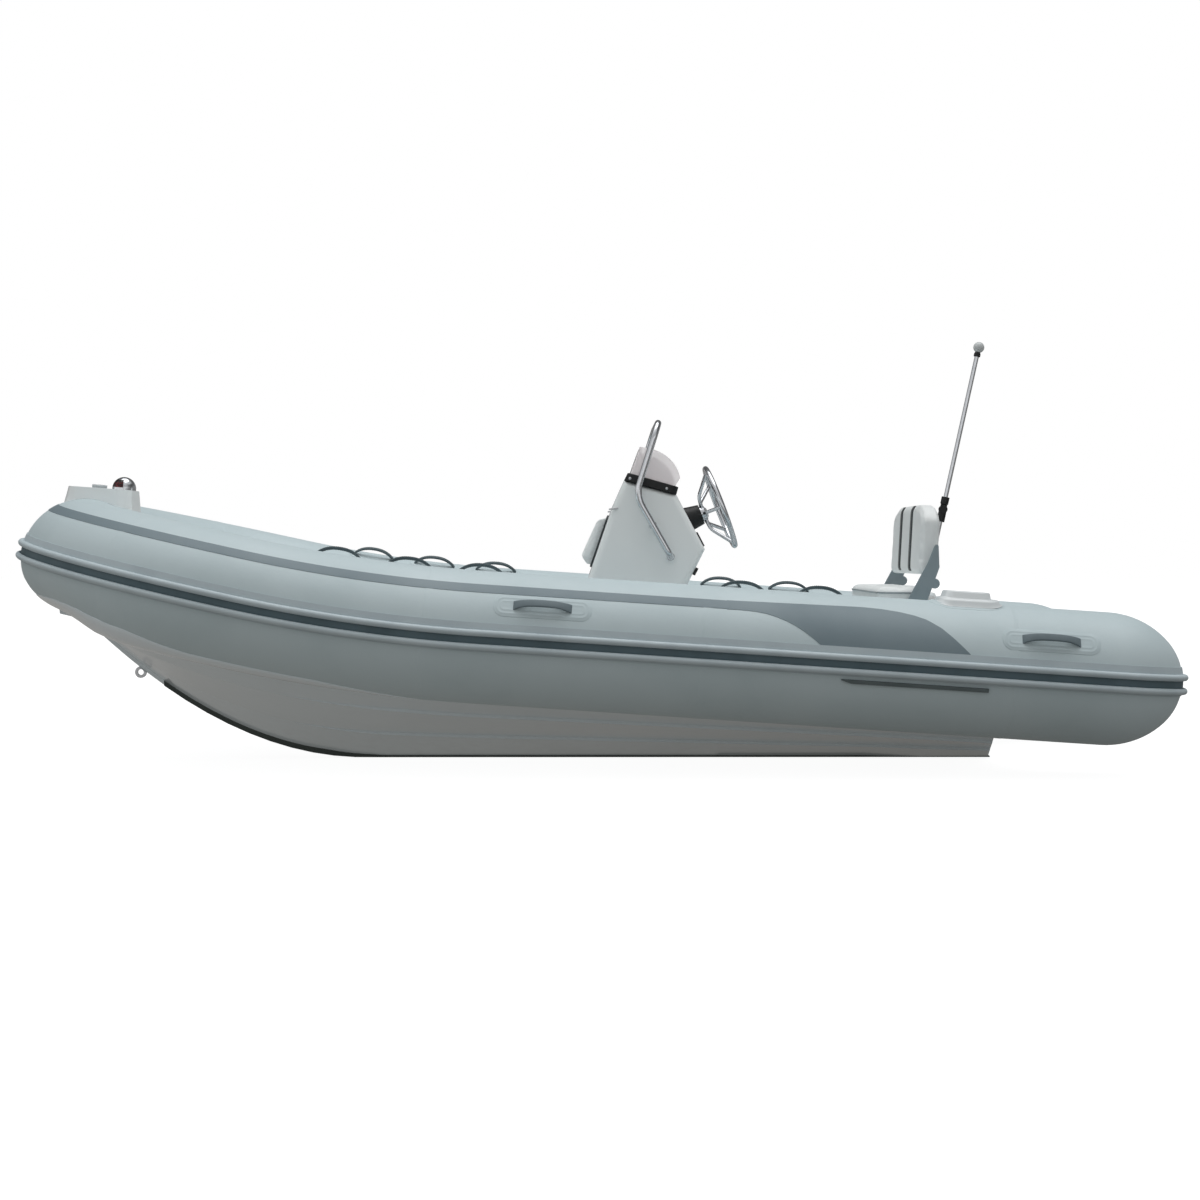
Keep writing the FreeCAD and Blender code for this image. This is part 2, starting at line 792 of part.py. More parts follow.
# Accent: a stripe that runs aft from the nose and opens into a swoosh

def swoosh_solid():
    front, aft = num("swoosh_front_x"), num("swoosh_aft_x")
    base = num("dome_base_z")
    length, height = front - aft, num("swoosh_height")
    slope = math.tan(stern_slope)

    def spot(along_share, up_share):
        x = front - length * along_share
        return vector(x, 0, base + (x - dome_base.x) * slope + height * up_share)

    lead = Part.BSplineCurve()
    lead.interpolate([spot(*shares) for shares in SWOOSH_LEAD_SHARES])
    tail = Part.BSplineCurve()
    tail.interpolate([spot(*shares) for shares in SWOOSH_TAIL_SHARES])
    front_top = spot(0.0, SWOOSH_FRONT_TOP_SHARE)
    edges = [lead.toShape(), line_edge(spot(*SWOOSH_LEAD_SHARES[-1]), spot(*SWOOSH_TAIL_SHARES[0])),
             tail.toShape(), line_edge(spot(*SWOOSH_TAIL_SHARES[-1]), front_top),
             line_edge(front_top, spot(*SWOOSH_LEAD_SHARES[0]))]
    blade = Part.Face(Part.Wire(edges)).extrude(PORT * (spacing + 2 * radius))
    flange = math.degrees(math.asin(num("rail_flange_top") / radius))
    skin = ring_section(flange + 1, 75, radius + gap, num("accent_thickness"))
    band = path.sweep(skin, path.distance_at(aft) - radius / 2, path.distance_at(front) + radius / 2)
    return band.common(blade).Solids[0]


def accent_solid():
    stripe = ring_section(num("accent_low_angle"), num("accent_high_angle"), radius + gap,
                          num("accent_thickness"))
    start = path.distance_at(num("swoosh_front_x")) - num("tube_radius") / 8
    return fuse_all([path.sweep(stripe, start, path_end), swoosh_solid()])


accent = accent_solid()
keep_shape("accent_stripe", fuse_all([accent, mirrored(accent)]))


# Handles: an arched strap or bow whose feet are moulded into a bonded patch

def handle_solid(x, kind, angle):
    length, width = num(f"{kind}_handle_length"), num(f"{kind}_handle_width")
    rise, thickness = num(f"{kind}_handle_rise"), num(f"{kind}_handle_thickness")
    patch_length, patch_width = num(f"{kind}_patch_length"), num(f"{kind}_patch_width")
    patch_thickness = num("lift_patch_thickness")
    half_angle = math.degrees(patch_width / 2 / radius)
    centre = path.distance_at(x)
    patch = path.sweep(ring_section(angle - half_angle, angle + half_angle, radius + gap, patch_thickness),
                       centre - patch_length / 2, centre + patch_length / 2)
    point, forward, outward = path.place(centre)
    upward = forward.cross(outward)
    normal = outward * math.cos(math.radians(angle)) + upward * math.sin(math.radians(angle))
    across = normal.cross(forward)
    seat = point + normal * (radius + gap + patch_thickness / 2)
    half = length / 2
    shoulder, shoulder_rise = half * HANDLE_SHOULDER_SHARE, rise * HANDLE_SHOULDER_RISE_SHARE
    inside = shoulder - thickness * HANDLE_INSIDE_SHARE
    outer = [(-half, 0), (-shoulder, shoulder_rise), (0, rise), (shoulder, shoulder_rise), (half, 0)]
    inner = [(half - thickness, 0), (inside, shoulder_rise - thickness), (0, rise - thickness),
             (-inside, shoulder_rise - thickness), (-half + thickness, 0)]
    curves = []
    for row in (outer, inner):
        curve = Part.BSplineCurve()
        curve.interpolate([seat + forward * a + normal * n - across * (width / 2) for a, n in row])
        curves.append(curve.toShape())
    ends = [row.Vertexes for row in curves]
    wire = Part.Wire([curves[0], line_edge(ends[0][-1].Point, ends[1][0].Point), curves[1],
                      line_edge(ends[1][-1].Point, ends[0][0].Point)])
    return fuse_all([patch, Part.Face(wire).extrude(across * width)])


lift_angle, grab_angle = num("lift_handle_angle"), num("grab_handle_angle")
lift_places = ("lift_handle_fore_x", "lift_handle_aft_x")
grab_places = ("grab_handle_bow_x", "grab_handle_fore_x", "grab_handle_mid_x", "grab_handle_seat_x",
               "grab_handle_stern_x")
lift_handles = Part.makeCompound([handle_solid(num(place), "lift", lift_angle) for place in lift_places])
grab_handles = Part.makeCompound([handle_solid(num(place), "grab", grab_angle) for place in grab_places])
for label, handles in (("lift_handles", lift_handles), ("grab_handles", grab_handles)):
    keep_shape(label, Part.makeCompound(handles.Solids + mirrored(handles).Solids))


# Hull: a vee bottom with two spray strakes a side, lofted through stations

def keel_height(x):
    share = max(0.0, (x - num("stem_start_x")) / (stem_top_x - num("stem_start_x")))
    if x > stem_top_x:
        return num("stem_lip_z")
    return num("stem_rise") * share ** STEM_CURVE_POWER - num("keel_depth")


def station_section(x):
    """Half section from the centreline out and up: breadths and heights."""
    keel = keel_height(x) + num("keel_bar_height")
    breadth = axis_half_breadth(x)
    if x > stem_top_x:
        breadth = num("stem_lip_half_breadth")
    floor = axis_height(x) - radius
    floor = max(floor, keel + num("spray_strake_height") * 2)
    rise = floor - keel
    fade = min(1.0, max(0.12, (stem_lip_x - x) / (stem_lip_x - num("stem_start_x"))))
    width, height = num("spray_strake_width") * fade, num("spray_strake_height") * fade
    rows = [(num("keel_half_width") * min(1.0, breadth / spacing + 0.5), keel)]
    for across_share, up_share in ((LOW_STRAKE_BREADTH_SHARE, LOW_STRAKE_RISE_SHARE),
                                   (HIGH_STRAKE_BREADTH_SHARE, HIGH_STRAKE_RISE_SHARE)):
        across, up = breadth * across_share, keel + rise * up_share
        rows += [(across, up), (across + width, up), (across + width, up + height)]
    rows.append((breadth * CHINE_BREADTH_SHARE, floor + height / 2))
    rows.append((breadth, axis_height(x) - num("keel_half_width")))
    return rows


def station_wire(x):
    rows = station_section(x)
    spots = [vector(x, across, up) for across, up in rows]
    spots += [vector(x, -across, up) for across, up in reversed(rows)]
    return Part.makePolygon(spots + [spots[0]])


def transom_x(z):
    """Aft face of the hull and transom at a height."""
    return num("transom_foot_x") - (z + num("keel_depth")) * math.tan(math.radians(num("transom_rake_angle")))


def side_prism(points, half_width, centre=0.0):
    """Straight prism across the boat from an outline in x and z."""
    spots = [vector(x, centre - half_width, z) for x, z in points]
    return Part.Face(Part.makePolygon(spots + [spots[0]])).extrude(PORT * (2 * half_width))


def keel_bar(start, end):
    depth = num("keel_bar_height") + num("keel_bar_rebate")
    stations = [interpolate(start, end, n / KEEL_SPOT_COUNT) for n in range(KEEL_SPOT_COUNT + 1)]
    low = [(x, keel_height(x)) for x in stations]
    curve_low, curve_high = Part.BSplineCurve(), Part.BSplineCurve()
    half = num("keel_half_width") - gap
    curve_low.interpolate([vector(x, -half, z) for x, z in low])
    curve_high.interpolate([vector(x, -half, z + depth) for x, z in reversed(low)])
    edges = [curve_low.toShape(), None, curve_high.toShape(), None]
    edges[1] = line_edge(edges[0].Vertexes[-1].Point, edges[2].Vertexes[0].Point)
    edges[3] = line_edge(edges[2].Vertexes[-1].Point, edges[0].Vertexes[0].Point)
    return Part.Face(Part.Wire(edges)).extrude(PORT * (2 * half))


overrun = num("cut_overrun")
hull_aft_x = transom_x(num("transom_top_z")) - overrun
hull_span = stem_lip_x - hull_aft_x
hull_loft = Part.makeLoft([station_wire(hull_aft_x + hull_span * share) for share in HULL_STATION_SHARES],
                          True, True)
broad = spacing + radius
aft_half_space = side_prism([(transom_x(-num("keel_depth") - overrun), -num("keel_depth") - overrun),
                             (transom_x(broad), broad), (-broad * 4, broad),
                             (-broad * 4, -num("keel_depth") - overrun)], broad)
deck_low = num("deck_top_z") - num("deck_thickness")
bulkhead = num("bow_bulkhead_x")
foredeck_tilt = math.tan(bow_slope)


def foredeck_height(x, above_axis):
    """Height over the line of the bow's slope, carried straight on aft of the turn."""
    return turn_start.z + (x - turn_start.x) * foredeck_tilt + above_axis


def well_space(low, high, end_clearance):
    """Cockpit well: straight-sided aft, drawn in towards the bulkhead, between two heights."""
    aft, taper = hull_aft_x - overrun, num("well_taper_x")
    wide, narrow = well_half, well_bow_half
    end = bulkhead - end_clearance
    spots = [vector(aft, -wide, low), vector(taper, -wide, low), vector(end, -narrow, low),
             vector(end, narrow, low), vector(taper, wide, low), vector(aft, wide, low)]
    return Part.Face(Part.makePolygon(spots + [spots[0]])).extrude(UP * (high - low))


above_foredeck = side_prism([
    (bulkhead, foredeck_height(bulkhead, -num("foredeck_drop"))),
    (stem_lip_x + overrun, foredeck_height(stem_lip_x + overrun, -num("foredeck_drop"))),
    (stem_lip_x + overrun, broad * 2), (bulkhead, broad * 2)], broad)
stem_bar = keel_bar(keel_strip_front_x, stem_top_x - num("keel_half_width"))
strip_bar = keel_bar(transom_x(-num("keel_depth")) - overrun, keel_strip_front_x)
hull = fuse_all([hull_loft, stem_bar]).cut(strip_bar).cut(aft_half_space).cut(above_foredeck)
hull = hull.cut(well_space(deck_low, broad, 0))

locker_front = bulkhead + num("locker_wall") + num("locker_length")
locker_top = foredeck_height(bulkhead, num("foredeck_rise"))
locker_floor = locker_top - num("locker_depth")


def locker_space(margin):
    """Room under the bow lid, open upwards."""
    start, end = bulkhead + num("locker_wall") - margin, locker_front + margin
    top = foredeck_height(locker_front, num("foredeck_rise")) + overrun
    return side_prism([(start, locker_floor), (end, locker_floor), (end, top), (start, top)],
                      locker_half + margin)


hull = clear_of_tubes(hull.cut(locker_space(0)))
hull = max(hull.Solids, key=lambda solid: solid.Volume)
keep_shape("hull", hull)
keep_shape("keel_strip", strip_bar.cut(aft_half_space).Solids[0])

transom_low = deck_low
rake_shift = num("transom_thickness")


def transom_solid():
    low, high = transom_low, num("transom_top_z")
    outline = [(transom_x(low), low), (transom_x(low) + rake_shift, low),
               (transom_x(high) + rake_shift, high), (transom_x(high), high)]
    return clear_of_tubes(side_prism(outline, spacing))


def widest(shape):
    return max(shape.Solids, key=lambda solid: solid.Volume)


keep_shape("transom", widest(transom_solid()))
behind_deck = side_prism([(transom_x(-overrun) + rake_shift + gap, -overrun),
                          (transom_x(broad) + rake_shift + gap, broad), (-broad * 4, broad),
                          (-broad * 4, -overrun)], broad)
deck = well_space(deck_low, num("deck_top_z"), gap).cut(behind_deck)
keep_shape("deck_panel", widest(clear_of_tubes(deck)))


# Bow locker moulding between the tubes, and its hinged lid

def foredeck_solid():
    low = -num("foredeck_drop")
    end = nose_centre.x + nose_radius
    outline = [(bulkhead, foredeck_height(bulkhead, low)), (end, foredeck_height(end, low)),
               (end, foredeck_height(end, num("foredeck_rise"))), (bulkhead, locker_top)]
    body = side_prism(outline, spacing)
    inside = Part.makeBox(end - bulkhead, 2 * spacing, broad * 2,
                          vector(bulkhead, -spacing, 0))
    limit = clear_of_tubes(body.common(inside))
    solid = max(limit.Solids, key=lambda item: item.Volume if item.CenterOfMass.x < end else 0)
    return solid.cut(locker_space(0))


def lid_solid():
    """Lid with a lip all round, lying in the plane of the foredeck."""
    lip, thickness = num("lid_lip"), num("lid_thickness")
    start, end = bulkhead + gap, locker_front + lip
    rise = num("foredeck_rise") + gap
    outline = [(start, foredeck_height(start, rise)), (end, foredeck_height(end, rise)),
               (end, foredeck_height(end, rise + thickness)),
               (start, foredeck_height(start, rise + thickness))]
    return side_prism(outline, locker_half + lip)


keep_shape("bow_locker", widest(foredeck_solid()))
keep_shape("bow_locker_lid", clear_of_tubes(lid_solid()))


# Bow eye on the stem, tow eyes on the transom, and the motor pad

def bow_eye_solid():
    centre = vector(bow_eye_x, 0, keel_height(bow_eye_x) - num("bow_eye_drop"))
    half = num("bow_eye_thickness") / 2
    ring = Part.makeCylinder(num("bow_eye_radius"), 2 * half, centre - PORT * half, PORT)
    inward = vector(-1, 0, 1).normalize()
    shank = Part.makeCylinder(num("bow_eye_shank_radius"), num("bow_eye_radius") * 2, centre, inward)
    hole = Part.makeCylinder(num("bow_eye_hole_radius"), 4 * half, centre - PORT * (2 * half), PORT)
    return ring.fuse(shank).cut(hole).cut(hull).Solids[0]


def tow_eye_solid(side):
    z = num("tow_eye_z")
    rake = math.radians(num("transom_rake_angle"))
    outward = vector(-math.cos(rake), 0, -math.sin(rake))
    upward = vector(-math.sin(rake), 0, math.cos(rake))
    seat = vector(transom_x(z), side * num("tow_eye_half_spacing"), z) + outward * gap
    plate = Part.makeBox(num("tow_plate_thickness"), num("tow_plate_width"), num("tow_plate_height"),
                         vector(0, -num("tow_plate_width") / 2, -num("tow_plate_height") / 2))
    plate.rotate(vector(0, 0, 0), PORT, 180 - num("transom_rake_angle"))
    plate.translate(seat)
    half = num("tow_eye_thickness") / 2
    centre = seat + outward * num("tow_eye_reach")
    ring = Part.makeCylinder(num("tow_eye_radius"), 2 * half, centre - upward * half, upward)
    neck = Part.makeBox(num("tow_eye_reach"), num("tow_eye_radius"), 2 * half,
                        vector(0, -num("tow_eye_radius") / 2, -half))
    neck.rotate(vector(0, 0, 0), PORT, 180 - num("transom_rake_angle"))
    neck.translate(seat)
    hole = Part.makeCylinder(num("tow_eye_hole_radius"), 4 * half, centre - upward * (2 * half), upward)
    return ring.fuse(neck).fuse(plate).cut(hole).removeSplitter().Solids[0]


keep_shape("bow_eye", bow_eye_solid())
keep_shape("tow_eyes", Part.makeCompound([tow_eye_solid(1), tow_eye_solid(-1)]))


def motor_pad_solid():
    high = num("transom_top_z")
    low = high - num("motor_pad_height") * math.cos(math.radians(num("transom_rake_angle")))
    thickness = num("motor_pad_thickness")
    outline = [(transom_x(low) - gap, low), (transom_x(high) - gap, high),
               (transom_x(high) - gap - thickness, high), (transom_x(low) - gap - thickness, low)]
    plate = side_prism(outline, num("motor_pad_width") / 2)
    upright = [edge for edge in plate.Edges
               if abs(edge.tangentAt(0).y) < 0.5 and abs(edge.tangentAt(0).z) < 0.5]
    return plate.makeChamfer(thickness / 2, upright)


keep_shape("motor_pad", motor_pad_solid())


# Bow step moulding over the nose, with cleat and navigation light

def step_height(x):
    share = (x - bow_step_aft_x) / (bow_step_fore_x - bow_step_aft_x)
    return interpolate(bow_step_aft_z, bow_step_fore_z, share)


def bow_step_solid():
    aft, fore, half = bow_step_aft_x, bow_step_fore_x, num("bow_step_half_width")
    draft, floor = num("bow_step_draft"), bow_step_floor_z
    nose_half = half * STEP_NOSE_BREADTH_SHARE
    low_wire = [vector(aft, -half, floor), vector(aft, half, floor),
                vector(fore + draft, nose_half, floor), vector(fore + draft, -nose_half, floor)]
    top_aft, top_fore = aft + draft / 3, fore - draft
    top_wire = [vector(top_aft, -half + draft, step_height(top_aft)),
                vector(top_aft, half - draft, step_height(top_aft)),
                vector(top_fore, nose_half - draft, step_height(top_fore)),
                vector(top_fore, -nose_half + draft, step_height(top_fore))]
    loft = Part.makeLoft([Part.makePolygon(w + [w[0]]) for w in (low_wire, top_wire)], True, True)
    lean = [edge for edge in loft.Edges if abs(edge.tangentAt(0).z) > 0.5]
    return widest(clear_of_tubes(loft.makeFillet(num("bow_step_corner_radius"), lean)))


bow_step = bow_step_solid()
keep_shape("bow_step", bow_step)
step_tilt = math.degrees(math.atan2(bow_step_aft_z - bow_step_fore_z,
                                    bow_step_fore_x - bow_step_aft_x))


def on_bow_step(shape, x):
    """Set a shape that was made upright at the origin on the moulding's sloping top."""
    shape.rotate(vector(0, 0, 0), PORT, step_tilt)
    shape.translate(vector(x, 0, step_height(x) + gap))
    return shape


def nav_light_solids():
    """A low drum with a domed cap, cut by two lens sectors that look forward to each side."""
    wide, tall, base = num("nav_light_radius"), num("nav_light_height"), num("nav_light_base_height")
    lens_top = base + num("nav_lens_width")
    drum = Part.makeCylinder(wide, base)
    dome_height = tall - base
    cap = Part.makeSphere((wide ** 2 + dome_height ** 2) / (2 * dome_height))
    cap.translate(vector(0, 0, tall - (wide ** 2 + dome_height ** 2) / (2 * dome_height)))
    body = drum.fuse(cap.common(Part.makeCylinder(wide, tall, vector(0, 0, base)))).removeSplitter()
    lens_ring = Part.makeCylinder(wide * 2, lens_top - base, vector(0, 0, base)).cut(
        Part.makeCylinder(wide * LENS_ROOT_SHARE, lens_top - base, vector(0, 0, base)))
    lenses = []
    for start in (4, -96):
        sector = Part.makeCylinder(wide * 2, tall, vector(0, 0, 0), UP, 92)
        sector.rotate(vector(0, 0, 0), UP, start)
        lens_room = lens_ring.common(sector)
        lenses.append(on_bow_step(body.common(lens_room).Solids[0], nav_light_x))
        body = body.cut(lens_room)
    return on_bow_step(body.Solids[0], nav_light_x), lenses


housing, lenses = nav_light_solids()
keep_shape("nav_light_housing", housing)
keep_shape("nav_lens_red", lenses[0])
keep_shape("nav_lens_green", lenses[1])


def bow_cleat_solid():
    """A horn cleat along the moulding, on two feet."""
    half, tall, bar = num("bow_cleat_half_length"), num("bow_cleat_height"), num("bow_cleat_radius")
    foot = num("bow_cleat_foot")
    horn = Part.makeCylinder(bar, 2 * half, vector(-half, 0, tall - bar), FORE)
    ends = [Part.makeSphere(bar, vector(side * half, 0, tall - bar)) for side in (1, -1)]
    posts = [Part.makeCylinder(bar, tall - bar, vector(side * foot / 2, 0, 0)) for side in (1, -1)]
    plate = Part.makeBox(foot * 2, foot, bar / 2, vector(-foot, -foot / 2, 0))
    return on_bow_step(fuse_all([plate, horn] + ends + posts), bow_cleat_x)


keep_shape("bow_cleat", bow_cleat_solid())


# Stern steps: a drafted tread block on a bonded flange, one on each tube

def stern_step_solid():
    fore, aft, half = num("step_fore_x"), num("step_aft_x"), num("step_half_width")
    draft, flange = num("step_draft"), num("step_flange_thickness")
    middle = path.distance_at((fore + aft) / 2)
    point, forward, outward = path.place(middle)
    upward = forward.cross(outward)
    length = fore - aft
    margin = num("step_flange_margin")
    flange_angle = math.degrees((half + margin / 2) / radius)
    skirt = path.sweep(ring_section(90 - flange_angle, 90 + flange_angle, radius + gap, flange),
                       middle - length / 2 - margin, middle + length / 2 + margin)
    bottom_height = radius - half / 2
    top_height = radius + num("step_stand")
    wires = []
    for height, inset in ((bottom_height, 0.0), (top_height, draft)):
        a, c = length / 2 - inset, half - inset
        spots = [point + upward * height + forward * u + outward * v
                 for u, v in ((-a, -c), (a, -c), (a, c), (-a, c))]
        wires.append(Part.makePolygon(spots + [spots[0]]))
    block = Part.makeLoft(wires, True, True)
    lean = [edge for edge in block.Edges if abs(edge.tangentAt(0).z) > 0.5]
    block = block.makeFillet(draft * 2, lean)
    return fuse_all(skirt.fuse(block.cut(cradle_port)).Solids)


stern_step = stern_step_solid()
keep_shape("stern_steps", Part.makeCompound([stern_step, mirrored(stern_step)]))


# Console: one hollow moulding, open underneath, with a door below the dash

deck_seat = size("deck_top_z") + size("seat_gap")


def console_front_x(z):
    """Front face of the console at a height, on the line from its foot to its shoulder."""
    foot_x, foot_z = size("console_front_x"), size("deck_top_z")
    slope = (size("console_shoulder_x") - foot_x) / (size("console_shoulder_z") - foot_z)
    return foot_x + (z - foot_z) * slope


def is_upright(edge):
    tangent = edge.tangentAt(edge.FirstParameter)
    return abs(tangent.y) < 0.3


def along_side(edge):
    """Edges of a pad across the boat that lie in its two end faces."""
    box = edge.BoundBox
    return box.YLength < 0.01 * box.DiagonalLength


console = start_body("console_shell")
console_outline = [
    (size("console_front_x"), deck_seat), (size("console_shoulder_x"), size("console_shoulder_z")),
    (size("console_brow_x"), size("console_brow_z")), (size("console_crown_x"), size("console_crown_z")),
    (size("dash_foot_x"), size("dash_foot_z")), (size("console_back_x"), size("console_back_z")),
    (size("console_heel_x"), deck_seat)]
console_sketch = start_sketch(console, "Side")
draw_outline(console_sketch, console_outline)
pad(console, console_sketch, size("console_half_width") * 2)
doc.recompute()
fillet_edges(console, size("console_corner_radius"),
             lambda edge: along_side(edge) and edge.BoundBox.ZLength > num("console_wall"), "Corner")
wall = size("console_wall")
hollow_sketch = start_sketch(console, "Hollow")
draw_outline(hollow_sketch, [
    (size("console_front_x") - wall * HOLLOW_FRONT_SHARE, deck_seat - wall),
    (size("console_shoulder_x") - wall * HOLLOW_FRONT_SHARE, size("console_shoulder_z")),
    (size("console_brow_x") - wall * HOLLOW_BROW_SHARES[0],
     size("console_brow_z") - wall * HOLLOW_BROW_SHARES[1]),
    (size("console_crown_x") + wall * HOLLOW_CROWN_SHARES[0],
     size("console_crown_z") - wall * HOLLOW_CROWN_SHARES[1]),
    (size("dash_foot_x") + wall * HOLLOW_DASH_SHARE, size("dash_foot_z")),
    (size("console_back_x") + wall * HOLLOW_BACK_SHARE, size("console_back_z")),
    (size("console_heel_x") + wall * HOLLOW_BACK_SHARE, deck_seat - wall)])
pocket(console, hollow_sketch, (size("console_half_width") - wall) * 2, "Inside")
doorway = start_sketch(console, "Doorway", "YZ_Plane", size("console_heel_x"))
draw_outline(doorway, [
    (-size("door_half_width"), size("door_low_z")), (size("door_half_width"), size("door_low_z")),
    (size("door_half_width"), size("door_high_z")), (-size("door_half_width"), size("door_high_z"))])
pocket(console, doorway, size("console_wall") * 8, "Doorcut")

door_slope = (num("console_heel_x") - num("console_back_x")) / (num("console_back_z") - num("deck_top_z"))


def console_back_face(z):
    return num("console_heel_x") - (z - num("deck_top_z")) * door_slope


def console_door_solid():
    """A lid over the doorway, seated on the aft face."""
    lip = num("lid_lip")
    low, high = num("door_low_z") - lip, num("door_high_z") + lip / 2
    thickness = num("door_thickness")
    outline = [(console_back_face(low) - gap, low), (console_back_face(high) - gap, high),
               (console_back_face(high) - gap - thickness, high),
               (console_back_face(low) - gap - thickness, low)]
    panel = side_prism(outline, num("door_half_width") + lip)
    edges = [edge for edge in panel.Edges if abs(edge.tangentAt(0).y) < 0.3 and edge.Length < thickness * 2]
    return panel.makeFillet(lip / 2, edges)


keep_shape("console_door", console_door_solid())

# Windscreen base and the wrap-round screen on it

base_body = start_body("screen_base")
base_sketch = start_sketch(base_body, "Side")
gap_size = size("seat_gap")
band = size("screen_base_height")
draw_outline(base_sketch, [
    (size("console_brow_x"), size("console_brow_z") + gap_size),
    (size("console_brow_x") - band * BAND_BROW_SHARE, size("console_brow_z") + gap_size + band),
    (size("console_crown_x") - band * BAND_CROWN_SHARE, size("console_crown_z") + gap_size + band),
    (size("console_crown_x"), size("console_crown_z") + gap_size)])
pad(base_body, base_sketch, (size("console_half_width") + size("screen_base_overhang")) * 2)
doc.recompute()
fillet_edges(base_body, size("console_corner_radius"),
             lambda edge: along_side(edge) and edge.BoundBox.ZLength > num("screen_base_height") / 2
             and edge.BoundBox.XLength < num("screen_base_height"), "Corner")


def screen_base_top(x):
    """Height of the band's sloping top, with the screen's seating gap."""
    rise = num("screen_base_height")
    brow = (num("console_brow_x") - rise * BAND_BROW_SHARE, num("console_brow_z") + rise)
    crown = (num("console_crown_x") - rise * BAND_CROWN_SHARE, num("console_crown_z") + rise)
    share = (x - crown[0]) / (brow[0] - crown[0])
    return interpolate(crown[1], brow[1], share) + 2 * gap


def windscreen_solid():
    """Front pane and two side panes bent from one sheet, open aft and above the dash."""
    inset, thickness = num("screen_inset"), num("screen_thickness")
    half = num("console_half_width") - inset
    foot_x = num("console_brow_x") - num("screen_base_height") * BAND_BROW_SHARE - inset
    front, peak = (num("screen_front_x"), num("screen_front_z")), (num("screen_peak_x"), num("screen_peak_z"))
    tail = (num("screen_tail_x"), num("screen_tail_z"))
    tail_foot = num("console_crown_x") + inset / 2
    lean = (foot_x - front[0]) / (front[1] - screen_base_top(foot_x))

    def outline(shift, width, drop):
        foot_z = screen_base_top(foot_x)
        reach = front[1] + drop
        spots = [vector(foot_x - shift + lean * drop, 0, foot_z - drop),
                 vector(foot_x - shift - lean * (reach - foot_z), 0, reach)]
        if drop:
            spots += [vector(tail[0] - drop, 0, reach), vector(tail[0] - drop, 0, foot_z - drop * 2)]
            spots[0] = vector(foot_x - shift + lean * drop * 2, 0, foot_z - drop * 2)
            edges = [line_edge(a, b) for a, b in zip(spots, spots[1:] + spots[:1])]
        else:
            crown = Part.BSplineCurve()
            crown.interpolate([vector(peak[0], 0, peak[1]), vector(interpolate(peak[0], tail[0], 0.59), 0,
                               interpolate(peak[1], tail[1], 0.31)),
                               vector(interpolate(peak[0], tail[0], 0.9), 0,
                                      interpolate(peak[1], tail[1], 0.70)),
                               vector(tail[0], 0, tail[1])])
            low_tail = vector(tail_foot, 0, screen_base_top(tail_foot))
            edges = [line_edge(spots[0], spots[1]), line_edge(spots[1], vector(peak[0], 0, peak[1])),
                     crown.toShape(), line_edge(vector(tail[0], 0, tail[1]), low_tail),
                     line_edge(low_tail, spots[0])]
        face = Part.Face(Part.Wire(edges))
        face.translate(PORT * -width)
        return face.extrude(PORT * (2 * width))

    def rounded(block, corner):
        picked = [edge for edge in block.Edges if abs(edge.tangentAt(edge.FirstParameter).y) < 0.2
                  and edge.CenterOfMass.x > front[0] - thickness * 2 and edge.BoundBox.XLength > thickness
                  and edge.BoundBox.ZLength > num("screen_base_height") * 2]
        return block.makeFillet(corner, picked)

    outer = rounded(outline(0.0, half, 0.0), num("screen_corner_radius"))
    inner = rounded(outline(thickness * 1.1, half - thickness, overrun),
                    num("screen_corner_radius") - thickness)
    return widest(outer.cut(inner))


keep_shape("windscreen", windscreen_solid())


# Bent stainless tube: straight runs joined by tangent bends

def bent_tube(points, bend_radii, tube_radius):
    solids = []
    start = points[0]
    for index in range(1, len(points)):
        corner = points[index]
        bend_radius = bend_radii[(index - 1) % len(bend_radii)]
        into = (corner - start).normalize()
        section = Part.Face(Part.Wire(Part.Circle(start, into, tube_radius).toShape()))
        if index == len(points) - 1:
            solids.append(section.extrude(corner - start))
            break
        away = (points[index + 1] - corner).normalize()
        turn = math.acos(max(-1.0, min(1.0, into.dot(away))))
        reach = bend_radius * math.tan(turn / 2)
        bend_start = corner - into * reach
        solids.append(section.extrude(bend_start - start))
        axis = into.cross(away).normalize()
        centre = bend_start + axis.cross(into) * bend_radius
        section = Part.Face(Part.Wire(Part.Circle(bend_start, into, tube_radius).toShape()))
        solids.append(section.revolve(centre, axis, math.degrees(turn)))
        start = corner + away * reach
    return fuse_all(solids)


def console_rail_solid():
    half = num("rail_half_width")
    wall_y = num("console_half_width") + gap
    shape = [("rail_foot_x", "rail_foot_z"), ("rail_bend_x", "rail_bend_z"), ("rail_top_x", "rail_top_z")]
    port = [vector(num("rail_foot_x"), wall_y, num("rail_foot_z"))]
    port += [vector(num(x), half, num(z)) for x, z in shape]
    bar = num("rail_tube_radius")
    hoop = port + [vector(spot.x, -spot.y, spot.z) for spot in reversed(port)]
    foot_bend = (half - wall_y) * FOOT_BEND_SHARE
    bend, knee = num("rail_corner_radius"), num("rail_knee_radius")
    parts = [bent_tube(hoop, [foot_bend, knee, bend, bend, knee, foot_bend], bar)]
    lugs = [(num("rail_foot_x"), num("rail_foot_z")), (num("rail_standoff_x"), num("rail_standoff_z"))]
    for side in (1, -1):
        for x, z in lugs:
            parts.append(Part.makeCylinder(num("rail_flange_radius"), bar / 2, vector(x, side * wall_y, z),
                                           PORT * side))
        x, z = lugs[1]
        parts.append(Part.makeCylinder(bar * STANDOFF_SHARE, half - wall_y, vector(x, side * wall_y, z),
                                       PORT * side))
    return fuse_all(parts)


keep_shape("console_rail", console_rail_solid())


# Helm cone and wheel, turned about the helm's axis and laid on the dash

